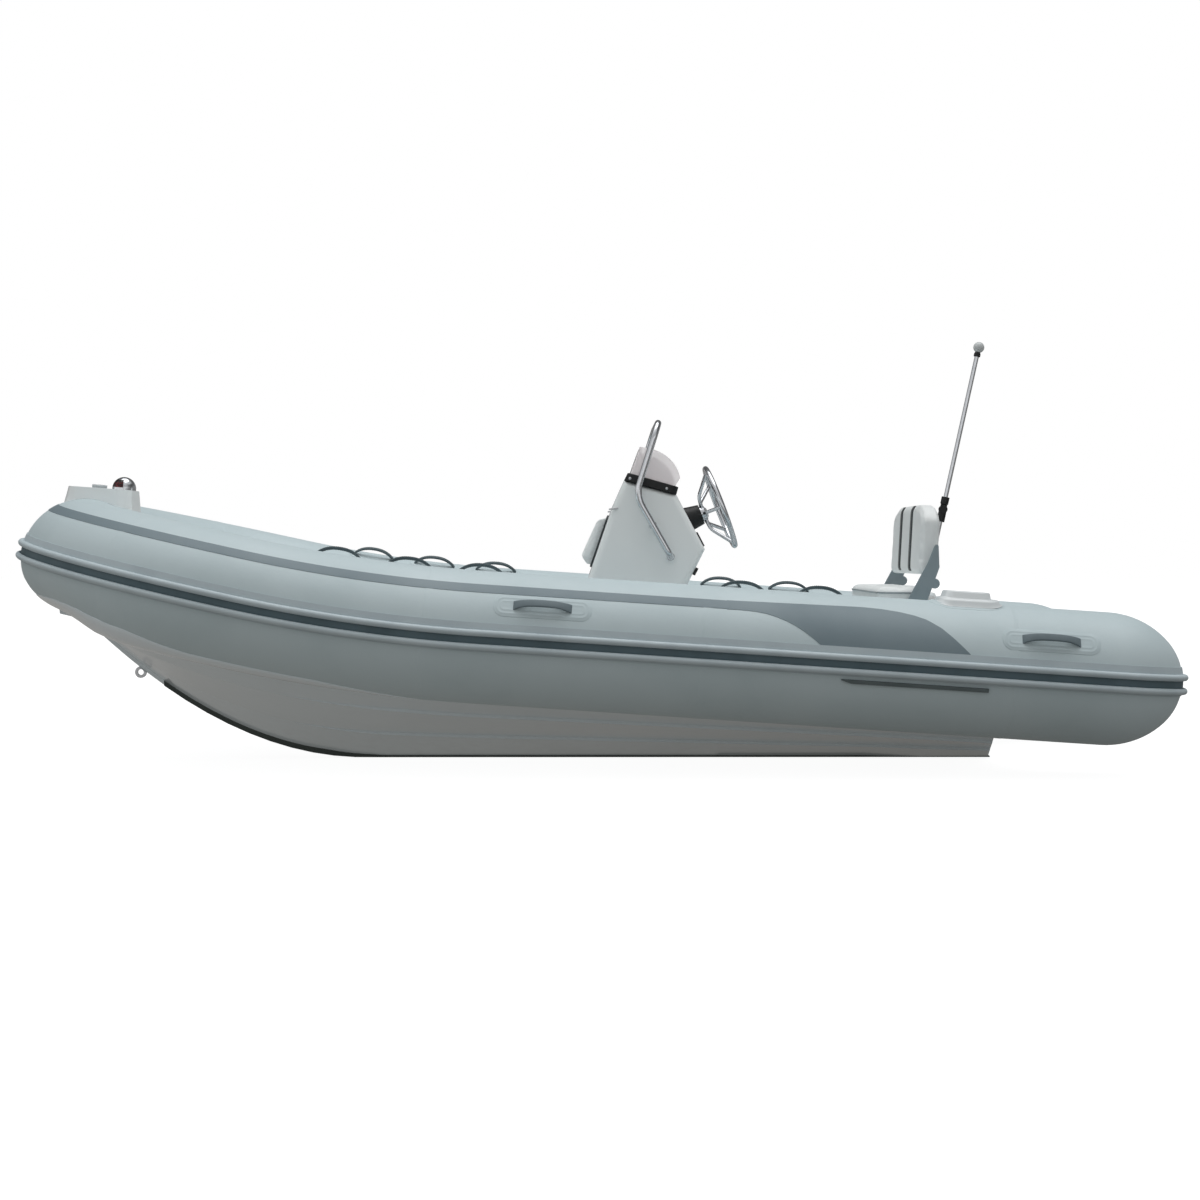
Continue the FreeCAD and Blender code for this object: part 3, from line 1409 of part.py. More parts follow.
helm_tilt = math.radians(num("helm_tilt_angle"))
dash_share = (num("helm_z") - num("dash_foot_z")) / (num("console_crown_z") - num("dash_foot_z"))
helm_seat = vector(interpolate(num("dash_foot_x"), num("console_crown_x"), dash_share), 0, num("helm_z"))
helm_axis = vector(-math.cos(helm_tilt), 0, math.sin(helm_tilt))
helm_turn = FreeCAD.Rotation(UP, helm_axis)

bezel = start_body("helm_bezel")
bezel_sketch = start_sketch(bezel, "Profile")
cone_foot = -size("wheel_hub_length") / 3
draw_outline(bezel_sketch, [
    (0, cone_foot), (size("helm_cone_radius"), cone_foot),
    (size("helm_cone_radius"), size("seat_gap") - cone_foot),
    (size("helm_neck_radius"), size("helm_cone_length")), (0, size("helm_cone_length"))])
revolve(bezel, bezel_sketch)
# The foot is cut to the dash, which leans a little more than the helm's axis
dash_lean = ((size("console_crown_x") - size("dash_foot_x"))
             / (size("console_crown_z") - size("dash_foot_z")))
helm_lean = Size(math.tan(helm_tilt), "tan(Sizes.helm_tilt_angle * 1 deg)")
skew = (dash_lean - helm_lean) / (dash_lean * helm_lean + 1)
foot_reach = size("helm_cone_radius") * 2
foot_sketch = start_sketch(bezel, "Foot")
draw_outline(foot_sketch, [
    (-foot_reach, skew * foot_reach + size("seat_gap")), (foot_reach, size("seat_gap") - skew * foot_reach),
    (foot_reach, -foot_reach), (-foot_reach, -foot_reach)])
pocket(bezel, foot_sketch, foot_reach * 2, "Foot_cut")
bezel.Placement = FreeCAD.Placement(helm_seat, helm_turn)


def wheel_solid():
    """Dished wheel: rim, hub and spokes that sweep up from the hub to the rim."""
    rim_height = num("wheel_dish") + num("wheel_hub_length") / 2
    wide, rim = num("wheel_radius") - num("wheel_rim_radius"), num("wheel_rim_radius")
    hub_wide, hub_tall, bar = num("wheel_hub_radius"), num("wheel_hub_length"), num("wheel_spoke_radius")
    parts = [Part.makeTorus(wide, rim, vector(0, 0, rim_height)), Part.makeCylinder(hub_wide, hub_tall)]
    for index in range(SPOKE_COUNT):
        spoke = bent_tube([vector(hub_wide / 2, 0, hub_tall / 2),
                           vector(interpolate(hub_wide, wide, 0.30), 0, hub_tall / 2 + bar / 2),
                           vector(wide, 0, rim_height)], [hub_wide * 2], bar)
        spoke.rotate(vector(0, 0, 0), UP, 90 + index * 360 / SPOKE_COUNT)
        parts.append(spoke)
    return fuse_all(parts)


wheel = wheel_solid()
wheel_feature = keep_shape("steering_wheel", wheel)
wheel_feature.Placement = FreeCAD.Placement(
    helm_seat + helm_axis * (num("helm_cone_length") + num("wheel_gap")), helm_turn)


# Front pad on the console, and the seat box ahead of it with its lid and cushion

front_pad = start_body("front_pad")
pad_sketch = start_sketch(front_pad, "Side")
soft = size("soft_gap")
pad_low, pad_high = size("front_pad_low_z"), size("front_pad_high_z")
pad_thick = size("front_pad_thickness")
draw_outline(pad_sketch, [
    (console_front_x(pad_low) + soft * 1.2, pad_low), (console_front_x(pad_high) + soft * 1.2, pad_high),
    (console_front_x(pad_high) + pad_thick * 0.8, pad_high - pad_thick * 0.1),
    (console_front_x(pad_high) + pad_thick, pad_high - pad_thick * 0.4),
    (console_front_x(pad_low) + pad_thick, pad_low + pad_thick * 0.8),
    (console_front_x(pad_low) + pad_thick * 0.5, pad_low + pad_thick * 0.1)])
pad(front_pad, pad_sketch, size("front_pad_half_width") * 2)

seat_box = start_body("front_seat_box")
seat_sketch = start_sketch(seat_box, "Side")
seat_top = size("front_seat_top_z")
seat_fore = size("front_seat_fore_x")
seat_wall = size("front_seat_wall")
draw_outline(seat_sketch, [
    (console_front_x(deck_seat) + gap_size * 2, deck_seat), (seat_fore, deck_seat), (seat_fore, seat_top),
    (console_front_x(seat_top) + gap_size * 2, seat_top)])
pad(seat_box, seat_sketch, size("front_seat_half_width") * 2)
room_sketch = start_sketch(seat_box, "Room")
draw_outline(room_sketch, [
    (console_front_x(deck_seat) + seat_wall * 1.2, deck_seat + seat_wall),
    (seat_fore - seat_wall, deck_seat + seat_wall), (seat_fore - seat_wall, seat_top + seat_wall),
    (console_front_x(seat_top + seat_wall) + seat_wall * 1.2, seat_top + seat_wall)])
pocket(seat_box, room_sketch, (size("front_seat_half_width") - seat_wall) * 2, "Room_cut")

seat_lid = start_body("front_seat_lid")
lid_sketch = start_sketch(seat_lid, "Side")
lid_low = seat_top + gap_size
lid_top = lid_low + size("front_seat_lid_thickness")
draw_outline(lid_sketch, [
    (console_front_x(lid_top) + seat_wall, lid_low), (seat_fore, lid_low), (seat_fore, lid_top),
    (console_front_x(lid_top) + seat_wall, lid_top)])
pad(seat_lid, lid_sketch, size("front_seat_half_width") * 2)

cushion = start_body("front_seat_cushion")
cushion_sketch = start_sketch(cushion, "Side")
inset = size("cushion_inset")
cushion_low = lid_top + soft
cushion_top = cushion_low + size("front_cushion_thickness")
draw_outline(cushion_sketch, [
    (console_front_x(lid_top) + seat_wall + inset, cushion_low), (seat_fore - inset, cushion_low),
    (seat_fore - inset, cushion_top), (console_front_x(lid_top) + seat_wall + inset, cushion_top)])
pad(cushion, cushion_sketch, (size("front_seat_half_width") - inset) * 2)
fillet_edges(cushion, size("cushion_edge_radius"),
             lambda edge: edge.BoundBox.ZMin > float(cushion_low) + num("cushion_inset"), "Edge")


# Stern seat: a hollow box with a raised ledge aft, a drop-down door and a cushion

stern_box = start_body("seat_box")
stern_sketch = start_sketch(stern_box, "Side")
fore_x, aft_x, step_x = size("seat_fore_x"), size("seat_aft_x"), size("seat_step_x")
top_z, ledge_z = size("seat_top_z"), size("seat_ledge_z")
draw_outline(stern_sketch, [
    (fore_x, deck_seat), (fore_x, top_z), (step_x, top_z), (step_x, ledge_z), (aft_x, ledge_z),
    (aft_x, deck_seat)])
pad(stern_box, stern_sketch, seat_half * 2)
stern_wall = size("seat_wall")
stern_room = start_sketch(stern_box, "Room")
draw_outline(stern_room, [
    (fore_x - stern_wall, deck_seat + stern_wall), (fore_x - stern_wall, top_z - stern_wall),
    (step_x - stern_wall, top_z - stern_wall), (step_x - stern_wall, ledge_z - stern_wall),
    (aft_x + stern_wall, ledge_z - stern_wall), (aft_x + stern_wall, deck_seat + stern_wall)])
pocket(stern_box, stern_room, (seat_half - stern_wall) * 2, "Room_cut")
seat_doorway = start_sketch(stern_box, "Doorway", "YZ_Plane", size("seat_fore_x"))
draw_outline(seat_doorway, [
    (-seat_door_half, size("seat_door_low_z")),
    (seat_door_half, size("seat_door_low_z")),
    (seat_door_half, size("seat_door_high_z")),
    (-seat_door_half, size("seat_door_high_z"))])
pocket(stern_box, seat_doorway, size("seat_wall") * 4, "Doorcut")

seat_door = start_body("seat_door")
door_sketch = start_sketch(seat_door, "Side")
lip = size("lid_lip") * 0.6
door_front = fore_x + gap_size
draw_outline(door_sketch, [
    (door_front, size("seat_door_low_z") - lip), (door_front + size("door_thickness"),
                                                  size("seat_door_low_z") - lip),
    (door_front + size("door_thickness"), size("seat_door_high_z") + lip),
    (door_front, size("seat_door_high_z") + lip)])
pad(seat_door, door_sketch, (seat_door_half + lip) * 2)

stern_cushion = start_body("seat_cushion")
stern_cushion_sketch = start_sketch(stern_cushion, "Side")
cushion_base = top_z + soft
stern_top = cushion_base + size("seat_cushion_thickness")
draw_outline(stern_cushion_sketch, [
    (fore_x, cushion_base), (fore_x, stern_top), (step_x + soft, stern_top), (step_x + soft, cushion_base)])
pad(stern_cushion, stern_cushion_sketch, (seat_half - inset) * 2)
fillet_edges(stern_cushion, size("cushion_edge_radius"),
             lambda edge: edge.BoundBox.ZMin > float(cushion_base) + num("cushion_inset"), "Edge")


# Flip-over backrest: pivot studs on the box, two arm plates and the cushion between them

arm_inner_y = float(seat_half) + num("arm_gap")
arm_outer_y = arm_inner_y + num("arm_thickness")
pivot = (num("arm_pivot_x"), num("arm_pivot_z"))


def pivot_studs():
    studs = []
    for side in (1, -1):
        start = vector(pivot[0], side * (float(seat_half) + gap), pivot[1])
        studs.append(fuse_all([
            Part.makeCylinder(num("arm_pivot_radius"), num("arm_gap") + num("arm_thickness") * 1.5, start,
                              PORT * side),
            Part.makeCylinder(num("arm_pivot_radius") * 2, num("arm_gap") * STUD_COLLAR_SHARE, start,
                              PORT * side)]))
    return Part.makeCompound(studs)


keep_shape("pivot_studs", pivot_studs())


def arm_plate():
    """Plate from the pivot boss to a waist and a tapered head, with a round knuckle on its aft edge."""
    waist = (num("arm_waist_x"), num("arm_waist_z"))
    head = (num("arm_top_x"), num("arm_top_z"))
    thickness = num("arm_thickness")

    def taper(low, low_radius, high, high_radius):
        """Flat bar between two round ends."""
        run = math.hypot(high[0] - low[0], high[1] - low[1])
        side_x, side_z = (high[1] - low[1]) / run, (low[0] - high[0]) / run
        outline = [(low[0] + side_x * low_radius, low[1] + side_z * low_radius),
                   (high[0] + side_x * high_radius, high[1] + side_z * high_radius),
                   (high[0] - side_x * high_radius, high[1] - side_z * high_radius),
                   (low[0] - side_x * low_radius, low[1] - side_z * low_radius)]
        bar = side_prism(outline, thickness / 2, arm_inner_y + thickness / 2)
        discs = [Part.makeCylinder(r, thickness, vector(x, arm_inner_y, z), PORT)
                 for (x, z), r in ((low, low_radius), (high, high_radius))]
        return [bar] + discs

    waist_width = num("arm_waist_half_width")
    parts = taper(pivot, num("arm_boss_radius"), waist, waist_width)
    parts += taper(waist, waist_width, head, num("arm_top_half_width"))
    parts.append(Part.makeCylinder(num("arm_knuckle_radius"), thickness,
                                   vector(num("arm_knuckle_x"), arm_inner_y, num("arm_knuckle_z")), PORT))
    plate = fuse_all(parts)
    bore = Part.makeCylinder(num("arm_pivot_radius") + num("arm_pivot_clearance"), thickness * 3,
                             vector(pivot[0], arm_inner_y - thickness, pivot[1]), PORT)
    fixing = Part.makeCylinder(num("arm_fixing_radius"),
                               arm_inner_y - backrest_half - gap + thickness / 2,
                               vector(interpolate(waist[0], head[0], ARM_FIXING_SHARE), backrest_half + gap,
                                      interpolate(waist[1], head[1], ARM_FIXING_SHARE)), PORT)
    return fuse_all([plate.cut(bore), fixing])


arm = arm_plate()
keep_shape("backrest_arms", Part.makeCompound([arm, mirrored(arm)]))


def backrest_solid():
    """Upright pad whose top corners are quarter ovals, leaning aft a little."""
    half, low, high = backrest_half, num("backrest_low_z"), num("backrest_high_z")
    across, down = num("backrest_corner_across"), num("backrest_corner_down")
    front, thick = num("backrest_front_x"), num("backrest_thickness")
    corners = []
    for side in (1, -1):
        centre = vector(front, side * (half - across), high - down)
        oval = Part.Ellipse(centre + PORT * across * side, centre + UP * down, centre)
        corners.append(Part.ArcOfEllipse(oval, 0, math.pi / 2).toShape())
    foot_corner = num("cushion_edge_radius")
    port, starboard = corners
    port_side = port.Vertexes[0].Point
    star_side = starboard.Vertexes[0].Point
    edges = [port, line_edge(port.Vertexes[-1].Point, starboard.Vertexes[-1].Point), starboard,
             line_edge(star_side, vector(front, star_side.y, low + foot_corner)),
             Part.Arc(vector(front, star_side.y, low + foot_corner),
                      vector(front, star_side.y + foot_corner * 0.3, low + foot_corner * 0.3),
                      vector(front, star_side.y + foot_corner, low)).toShape(),
             line_edge(vector(front, star_side.y + foot_corner, low),
                       vector(front, port_side.y - foot_corner, low)),
             Part.Arc(vector(front, port_side.y - foot_corner, low),
                      vector(front, port_side.y - foot_corner * 0.3, low + foot_corner * 0.3),
                      vector(front, port_side.y, low + foot_corner)).toShape(),
             line_edge(vector(front, port_side.y, low + foot_corner), port_side)]
    face = Part.Face(Part.Wire(Part.__sortEdges__(edges)))
    block = face.extrude(FORE * -thick)
    rim = [edge for edge in block.Edges if edge.BoundBox.XLength < thick / 2]
    block = block.makeFillet(num("cushion_edge_radius") * 0.6, rim)
    block.rotate(vector(front, 0, low), PORT, -num("backrest_rake_angle"))
    return block


keep_shape("backrest_cushion", backrest_solid())


# Folding light mast, built upright about its own axis and then leaned aft

mast_lean = math.radians(num("mast_lean_angle"))
mast_foot = vector(num("mast_base_x"), 0, num("seat_ledge_z"))
mast_axis = vector(-math.sin(mast_lean), 0, math.cos(mast_lean))
mast_turn = FreeCAD.Rotation(PORT, -num("mast_lean_angle"))


def mast_length(z):
    """Distance along the mast's axis to a height."""
    return (z - mast_foot.z) / math.cos(mast_lean)


joint_low, joint_high = mast_length(num("mast_joint_low_z")), mast_length(num("mast_joint_high_z"))
joint_middle = (joint_low + joint_high) / 2
joint_radius, tongue = num("mast_joint_radius"), num("mast_tongue_half_width")
slot = tongue + gap
mast_radius = num("mast_radius")


def mast_lower():
    socket = Part.makeCylinder(num("mast_socket_radius"), num("mast_socket_height") * 2,
                               vector(0, 0, -num("mast_socket_height")))
    parts = [socket, Part.makeCylinder(mast_radius, joint_low)]
    shape = fuse_all(parts)
    shape.Placement = FreeCAD.Placement(mast_foot, mast_turn)
    room = Part.makeBox(overrun * 4, overrun * 4, overrun * 4,
                        vector(mast_foot.x - overrun * 2, -overrun * 2, mast_foot.z + gap - overrun * 4))
    return shape.cut(room).Solids[0]


def mast_fork():
    """Lower half of the fold: a cup with two cheeks and the cross pin."""
    cup = Part.makeCylinder(joint_radius, joint_middle - joint_low, vector(0, 0, joint_low))
    cheeks = Part.makeCylinder(joint_radius, joint_radius * 2, vector(0, -joint_radius, joint_middle), PORT)
    body = cup.fuse(cheeks)
    clear = joint_radius + num("mast_slot_clearance")
    slot_box = Part.makeBox(clear * 2, slot * 2, joint_high - joint_middle + clear,
                            vector(-clear, -slot, joint_middle - clear))
    pin = Part.makeCylinder(num("mast_pin_radius"), joint_radius * 2, vector(0, -joint_radius, joint_middle), PORT)
    return fuse_all([body.cut(slot_box), pin])


def mast_upper():
    """Upper half: a tongue round the pin, a cup, the tube and the collar under the globe."""
    top = mast_length(num("mast_top_z"))
    clear = joint_radius + num("mast_slot_clearance")
    blade = Part.makeBox(joint_radius * 1.6, tongue * 2, clear + joint_radius,
                         vector(-joint_radius * 0.8, -tongue, joint_middle))
    eye = Part.makeCylinder(joint_radius * 0.8, tongue * 2, vector(0, -tongue, joint_middle), PORT)
    hole = Part.makeCylinder(num("mast_pin_radius") + num("arm_pivot_clearance"), tongue * 4,
                             vector(0, -tongue * 2, joint_middle), PORT)
    cup = Part.makeCylinder(joint_radius, joint_high - joint_middle - clear,
                            vector(0, 0, joint_middle + clear))
    hinge = fuse_all([blade.fuse(eye).cut(hole), cup])
    tube = Part.makeCylinder(mast_radius, top - joint_high, vector(0, 0, joint_high))
    return hinge, tube, top


def lean_mast(shape):
    placed = shape.copy()
    placed.Placement = FreeCAD.Placement(mast_foot, mast_turn)
    return placed


hinge_upper, mast_tube, mast_top = mast_upper()
keep_shape("mast_lower", fuse_all([mast_lower(), lean_mast(mast_fork())]))
collar = Part.makeCylinder(num("mast_collar_radius"), num("mast_collar_height"), vector(0, 0, mast_top))
globe_height = mast_top + num("mast_collar_height") + num("globe_radius") * GLOBE_SEAT_SHARE
socket = Part.makeSphere(num("globe_radius") + gap, vector(0, 0, globe_height))
keep_shape("mast_upper", lean_mast(fuse_all([hinge_upper, mast_tube, collar.cut(socket)])))
keep_shape("mast_globe", lean_mast(Part.makeSphere(num("globe_radius"), vector(0, 0, globe_height))))


# Check every object, then write one STEP file for each sub-part

doc.recompute()
for item in doc.Objects:
    if "Invalid" in item.State or "Error" in item.State:
        raise RuntimeError(f"{item.Label} did not compute: {item.State}")
os.makedirs("parts", exist_ok=True)
for item in sub_parts:
    if item.Shape.isNull() or not item.Shape.isValid():
        raise RuntimeError(f"{item.Label} has no valid shape")
    if not item.Shape.Solids:
        raise RuntimeError(f"{item.Label} has no solid")
for item in sub_parts:
    item.Shape.exportStep(f"parts/{item.Label}.step")
    print(item.Label, len(item.Shape.Solids), round(item.Shape.Volume / 1e6, 3))
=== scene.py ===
import json
import math

import bmesh
import bpy
import numpy as np
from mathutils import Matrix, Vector
from mathutils.bvhtree import BVHTree

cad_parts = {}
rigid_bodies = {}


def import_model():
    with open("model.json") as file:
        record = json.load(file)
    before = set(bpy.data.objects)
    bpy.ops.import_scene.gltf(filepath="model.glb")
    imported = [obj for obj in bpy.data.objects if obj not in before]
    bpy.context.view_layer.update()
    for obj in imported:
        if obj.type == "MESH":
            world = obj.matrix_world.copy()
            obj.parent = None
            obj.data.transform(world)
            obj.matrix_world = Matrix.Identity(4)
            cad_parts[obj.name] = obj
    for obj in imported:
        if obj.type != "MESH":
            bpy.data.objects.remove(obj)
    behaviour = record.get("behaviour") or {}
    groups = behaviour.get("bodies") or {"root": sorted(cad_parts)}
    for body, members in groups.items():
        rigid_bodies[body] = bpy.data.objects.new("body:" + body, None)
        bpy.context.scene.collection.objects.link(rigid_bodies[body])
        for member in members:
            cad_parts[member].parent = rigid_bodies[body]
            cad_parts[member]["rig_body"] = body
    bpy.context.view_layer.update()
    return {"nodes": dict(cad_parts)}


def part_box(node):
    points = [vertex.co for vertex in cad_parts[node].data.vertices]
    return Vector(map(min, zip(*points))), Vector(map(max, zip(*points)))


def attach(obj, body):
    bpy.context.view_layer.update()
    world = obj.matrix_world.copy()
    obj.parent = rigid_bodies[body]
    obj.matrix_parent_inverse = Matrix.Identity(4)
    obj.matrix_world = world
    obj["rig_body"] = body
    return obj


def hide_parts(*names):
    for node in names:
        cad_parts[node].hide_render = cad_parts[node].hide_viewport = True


# Dresses the rigid inflatable boat. Metres; +X to the bow, +Y to port, +Z up.

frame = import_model()

# Tube path and section, as in the construction model
TUBE_RADIUS = 0.268
TUBE_SPACING = 0.800
SEAT_GAP = 0.0003
DOME_BASE = Vector((-2.071, TUBE_SPACING, 0.190))
DOME_LENGTH = 0.309
DOME_TIP_RADIUS = 0.240
DOME_SIDE_RADIUS = ((DOME_LENGTH ** 2 + TUBE_RADIUS ** 2 - 2 * DOME_LENGTH * DOME_TIP_RADIUS)
                    / (2 * (TUBE_RADIUS - DOME_TIP_RADIUS)))
DOME_LEAN = math.atan2(DOME_LENGTH - DOME_TIP_RADIUS, DOME_SIDE_RADIUS - TUBE_RADIUS)
STERN_SLOPE = math.radians(3.8)
BOW_SLOPE = math.radians(12.3)
SHEER_START_X = 0.440
SHEER_RADIUS = 0.970 / (math.sin(BOW_SLOPE) - math.sin(STERN_SLOPE))
TURN_RADIUS = 0.800
TURN_ANGLE = math.radians(30)
NOSE_RADIUS = (TUBE_SPACING - TURN_RADIUS * (1 - math.cos(TURN_ANGLE))) / math.cos(TURN_ANGLE)

PORT = Vector((0, 1, 0))
RUN_DIRECTION = Vector((math.cos(STERN_SLOPE), 0, math.sin(STERN_SLOPE)))
RUN_NORMAL = Vector((-math.sin(STERN_SLOPE), 0, math.cos(STERN_SLOPE)))
BOW_DIRECTION = Vector((math.cos(BOW_SLOPE), 0, math.sin(BOW_SLOPE)))
BOW_NORMAL = Vector((-math.sin(BOW_SLOPE), 0, math.cos(BOW_SLOPE)))
RUN_LENGTH = (SHEER_START_X - DOME_BASE.x) / math.cos(STERN_SLOPE)
SHEER_LENGTH = SHEER_RADIUS * (BOW_SLOPE - STERN_SLOPE)
TURN_LENGTH = TURN_RADIUS * TURN_ANGLE
NOSE_LENGTH = NOSE_RADIUS * (math.pi / 2 - TURN_ANGLE)
TURN_END = RUN_LENGTH + SHEER_LENGTH + TURN_LENGTH
PATH_END = TURN_END + NOSE_LENGTH
SHEER_START = DOME_BASE + RUN_DIRECTION * RUN_LENGTH
SHEER_CENTRE = SHEER_START + RUN_NORMAL * SHEER_RADIUS
TURN_START = SHEER_CENTRE - BOW_NORMAL * SHEER_RADIUS
TURN_CENTRE = TURN_START - PORT * TURN_RADIUS
NOSE_CENTRE = (TURN_START + BOW_DIRECTION * (TURN_RADIUS - NOSE_RADIUS) * math.sin(TURN_ANGLE)
               - PORT * TUBE_SPACING)


def tube_axis(distance):
    """Point on the port tube's axis, with its forward and outboard directions."""
    left = distance
    if left <= RUN_LENGTH:
        return DOME_BASE + RUN_DIRECTION * left, RUN_DIRECTION, PORT
    left -= RUN_LENGTH
    if left <= SHEER_LENGTH:
        slope = STERN_SLOPE + left / SHEER_RADIUS
        normal = Vector((-math.sin(slope), 0, math.cos(slope)))
        return SHEER_CENTRE - normal * SHEER_RADIUS, Vector((math.cos(slope), 0, math.sin(slope))), PORT
    left -= SHEER_LENGTH
    if left <= TURN_LENGTH:
        angle, centre, bend = left / TURN_RADIUS, TURN_CENTRE, TURN_RADIUS
    else:
        angle = TURN_ANGLE + (left - TURN_LENGTH) / NOSE_RADIUS
        centre, bend = NOSE_CENTRE, NOSE_RADIUS
    outward = BOW_DIRECTION * math.sin(angle) + PORT * math.cos(angle)
    forward = BOW_DIRECTION * math.cos(angle) - PORT * math.sin(angle)
    return centre + outward * bend, forward, outward


def on_tube(distance, angle, height):
    """A point at an angle above the tube's equator and a height over its skin."""
    point, forward, outward = tube_axis(distance)
    upward = forward.cross(outward)
    reach = TUBE_RADIUS + height
    return point + (outward * math.cos(angle) + upward * math.sin(angle)) * reach


def distance_at(x):
    """Distance along the tube's path at which its axis reaches x."""
    low, high = -DOME_LENGTH, PATH_END
    for _ in range(50):
        middle = (low + high) / 2
        if tube_axis(middle)[0].x < x:
            low = middle
        else:
            high = middle
    return low


def axis_height(x):
    if x <= SHEER_START_X:
        return DOME_BASE.z + (x - DOME_BASE.x) * math.tan(STERN_SLOPE)
    if x <= TURN_START.x:
        slope = math.asin(math.sin(STERN_SLOPE) + (x - SHEER_START_X) / SHEER_RADIUS)
        return SHEER_CENTRE.z - SHEER_RADIUS * math.cos(slope)
    return TURN_START.z + (x - TURN_START.x) * math.tan(BOW_SLOPE)


def axis_half_breadth(x):
    if x <= TURN_START.x:
        return TUBE_SPACING
    reach = (x - TURN_START.x) / math.cos(BOW_SLOPE)
    if reach <= TURN_RADIUS * math.sin(TURN_ANGLE):
        return TUBE_SPACING - TURN_RADIUS + math.sqrt(TURN_RADIUS ** 2 - reach ** 2)
    from_centre = reach - (TURN_RADIUS - NOSE_RADIUS) * math.sin(TURN_ANGLE)
    return math.sqrt(max(NOSE_RADIUS ** 2 - from_centre ** 2, 0.0))


# Camera at the photograph's place: a little above the tubes, square to the port side

PICTURE_WIDTH = 1200
FOCAL_PIXELS = 2163
AIM_ACROSS, AIM_DOWN = 10, 48
CAMERA_PLACE = (0, 9.5, 0.7)
camera_data = bpy.data.cameras.new("Camera")
camera_data.sensor_width = 36
camera_data.lens = camera_data.sensor_width * FOCAL_PIXELS / PICTURE_WIDTH
camera_data.clip_start, camera_data.clip_end = 0.1, 200
camera = bpy.data.objects.new("Camera", camera_data)
camera.location = CAMERA_PLACE
looking = Vector((-AIM_ACROSS / FOCAL_PIXELS, -1, -AIM_DOWN / FOCAL_PIXELS))
camera.rotation_euler = looking.to_track_quat("-Z", "Y").to_euler()
bpy.context.scene.collection.objects.link(camera)
bpy.context.scene.camera = camera
bpy.context.scene.view_settings.view_transform = "Standard"


# Shader groups: each puts out only what varies over the surface

VECTOR, COLOUR, FLOAT = "NodeSocketVector", "NodeSocketColor", "NodeSocketFloat"
PLACE = ("Place", VECTOR, (0, 0, 0))
BASE_COLOUR = ("Colour", COLOUR, (0.5, 0.5, 0.5, 1))
DARKER = (0.4, 0.4, 0.4, 1)


def make_group(name, inputs, outputs):
    """A group with its inside ends: what it is given, by label, and what it has to put out."""
    tree = bpy.data.node_groups.new(name, "ShaderNodeTree")
    for label, kind, value in inputs:
        socket = tree.interface.new_socket(label, in_out="INPUT", socket_type=kind)
        socket.default_value = value
    for label, kind in outputs:
        tree.interface.new_socket(label, in_out="OUTPUT", socket_type=kind)
    return tree, tree.nodes.new("NodeGroupInput").outputs, tree.nodes.new("NodeGroupOutput").inputs


def feed(tree, socket, value):
    """Link another node's socket to this one, or set this one's value."""
    if isinstance(value, bpy.types.NodeSocket):
        tree.links.new(value, socket)
    else:
        socket.default_value = value


def add_node(tree, kind, settings=None, **inputs):
    """A node with its settings and its sockets' values or links, by name or as i0, i1 and so on."""
    node = tree.nodes.new(kind)
    for key, value in (settings or {}).items():
        setattr(node, key, value)
    for key, value in inputs.items():
        numbered = key[0] == "i" and key[1:].isdigit()
        feed(tree, node.inputs[int(key[1:]) if numbered else key], value)
    return node


def blend_colours(tree, share, low, high):
    return add_node(tree, "ShaderNodeMix", {"data_type": "RGBA"}, i0=share, i6=low, i7=high).outputs[2]


def stretch(tree, value, low, high, to_low=0.0, to_high=1.0):
    return add_node(tree, "ShaderNodeMapRange", None, i0=value, i1=low, i2=high, i3=to_low, i4=to_high).outputs[0]


def combine(tree, operation, first, second):
    return add_node(tree, "ShaderNodeMath", {"operation": operation}, i0=first, i1=second).outputs[0]


def noise(tree, place, scale, detail, **inputs):
    return add_node(tree, "ShaderNodeTexNoise", None, Vector=place, Scale=scale, Detail=detail, **inputs).outputs[0]


def squeezed(tree, place, scale):
    return add_node(tree, "ShaderNodeMapping", None, Vector=place, Scale=scale).outputs[0]


def build_mottle():
    """Faint clouding of colour and gloss, with fine grain for the bump."""
    tree, given, result = make_group(
        "Mottle",
        [PLACE, BASE_COLOUR, ("Shade", COLOUR, DARKER), ("Cloud Scale", FLOAT, 3.0), ("Grain Scale", FLOAT, 400.0),
         ("Gloss Low", FLOAT, 0.4), ("Gloss High", FLOAT, 0.5)],
        [("Colour", COLOUR), ("Roughness", FLOAT), ("Height", FLOAT)])
    cloud = noise(tree, given["Place"], given["Cloud Scale"], 5.0, Roughness=0.55)
    grain = noise(tree, given["Place"], given["Grain Scale"], 3.0, Roughness=0.6)
    shade = stretch(tree, cloud, 0.42, 0.72)
    feed(tree, result["Colour"], blend_colours(tree, shade, given["Colour"], given["Shade"]))
    feed(tree, result["Roughness"], stretch(tree, cloud, 0.3, 0.7, given["Gloss Low"], given["Gloss High"]))
    feed(tree, result["Height"], grain)
    return tree


def build_low_streaks():
    """Streaks of a second colour that grow stronger towards the bottom."""
    tree, given, result = make_group(
        "Low streaks",
        [PLACE, BASE_COLOUR, ("Dirt", COLOUR, (0.25, 0.25, 0.23, 1)), ("Top", FLOAT, 0.2), ("Bottom", FLOAT, -0.2),
         ("Amount", FLOAT, 0.3)],
        [("Colour", COLOUR)])
    height = add_node(tree, "ShaderNodeSeparateXYZ", None, Vector=given["Place"]).outputs[2]
    low = stretch(tree, height, given["Top"], given["Bottom"])
    streaks = noise(tree, squeezed(tree, given["Place"], (1.0, 1.0, 0.16)), 22.0, 4.0)
    mask = combine(tree, "MULTIPLY", low, stretch(tree, streaks, 0.42, 0.78))
    mask = combine(tree, "MULTIPLY", mask, given["Amount"])
    feed(tree, result["Colour"], blend_colours(tree, mask, given["Colour"], given["Dirt"]))
    return tree


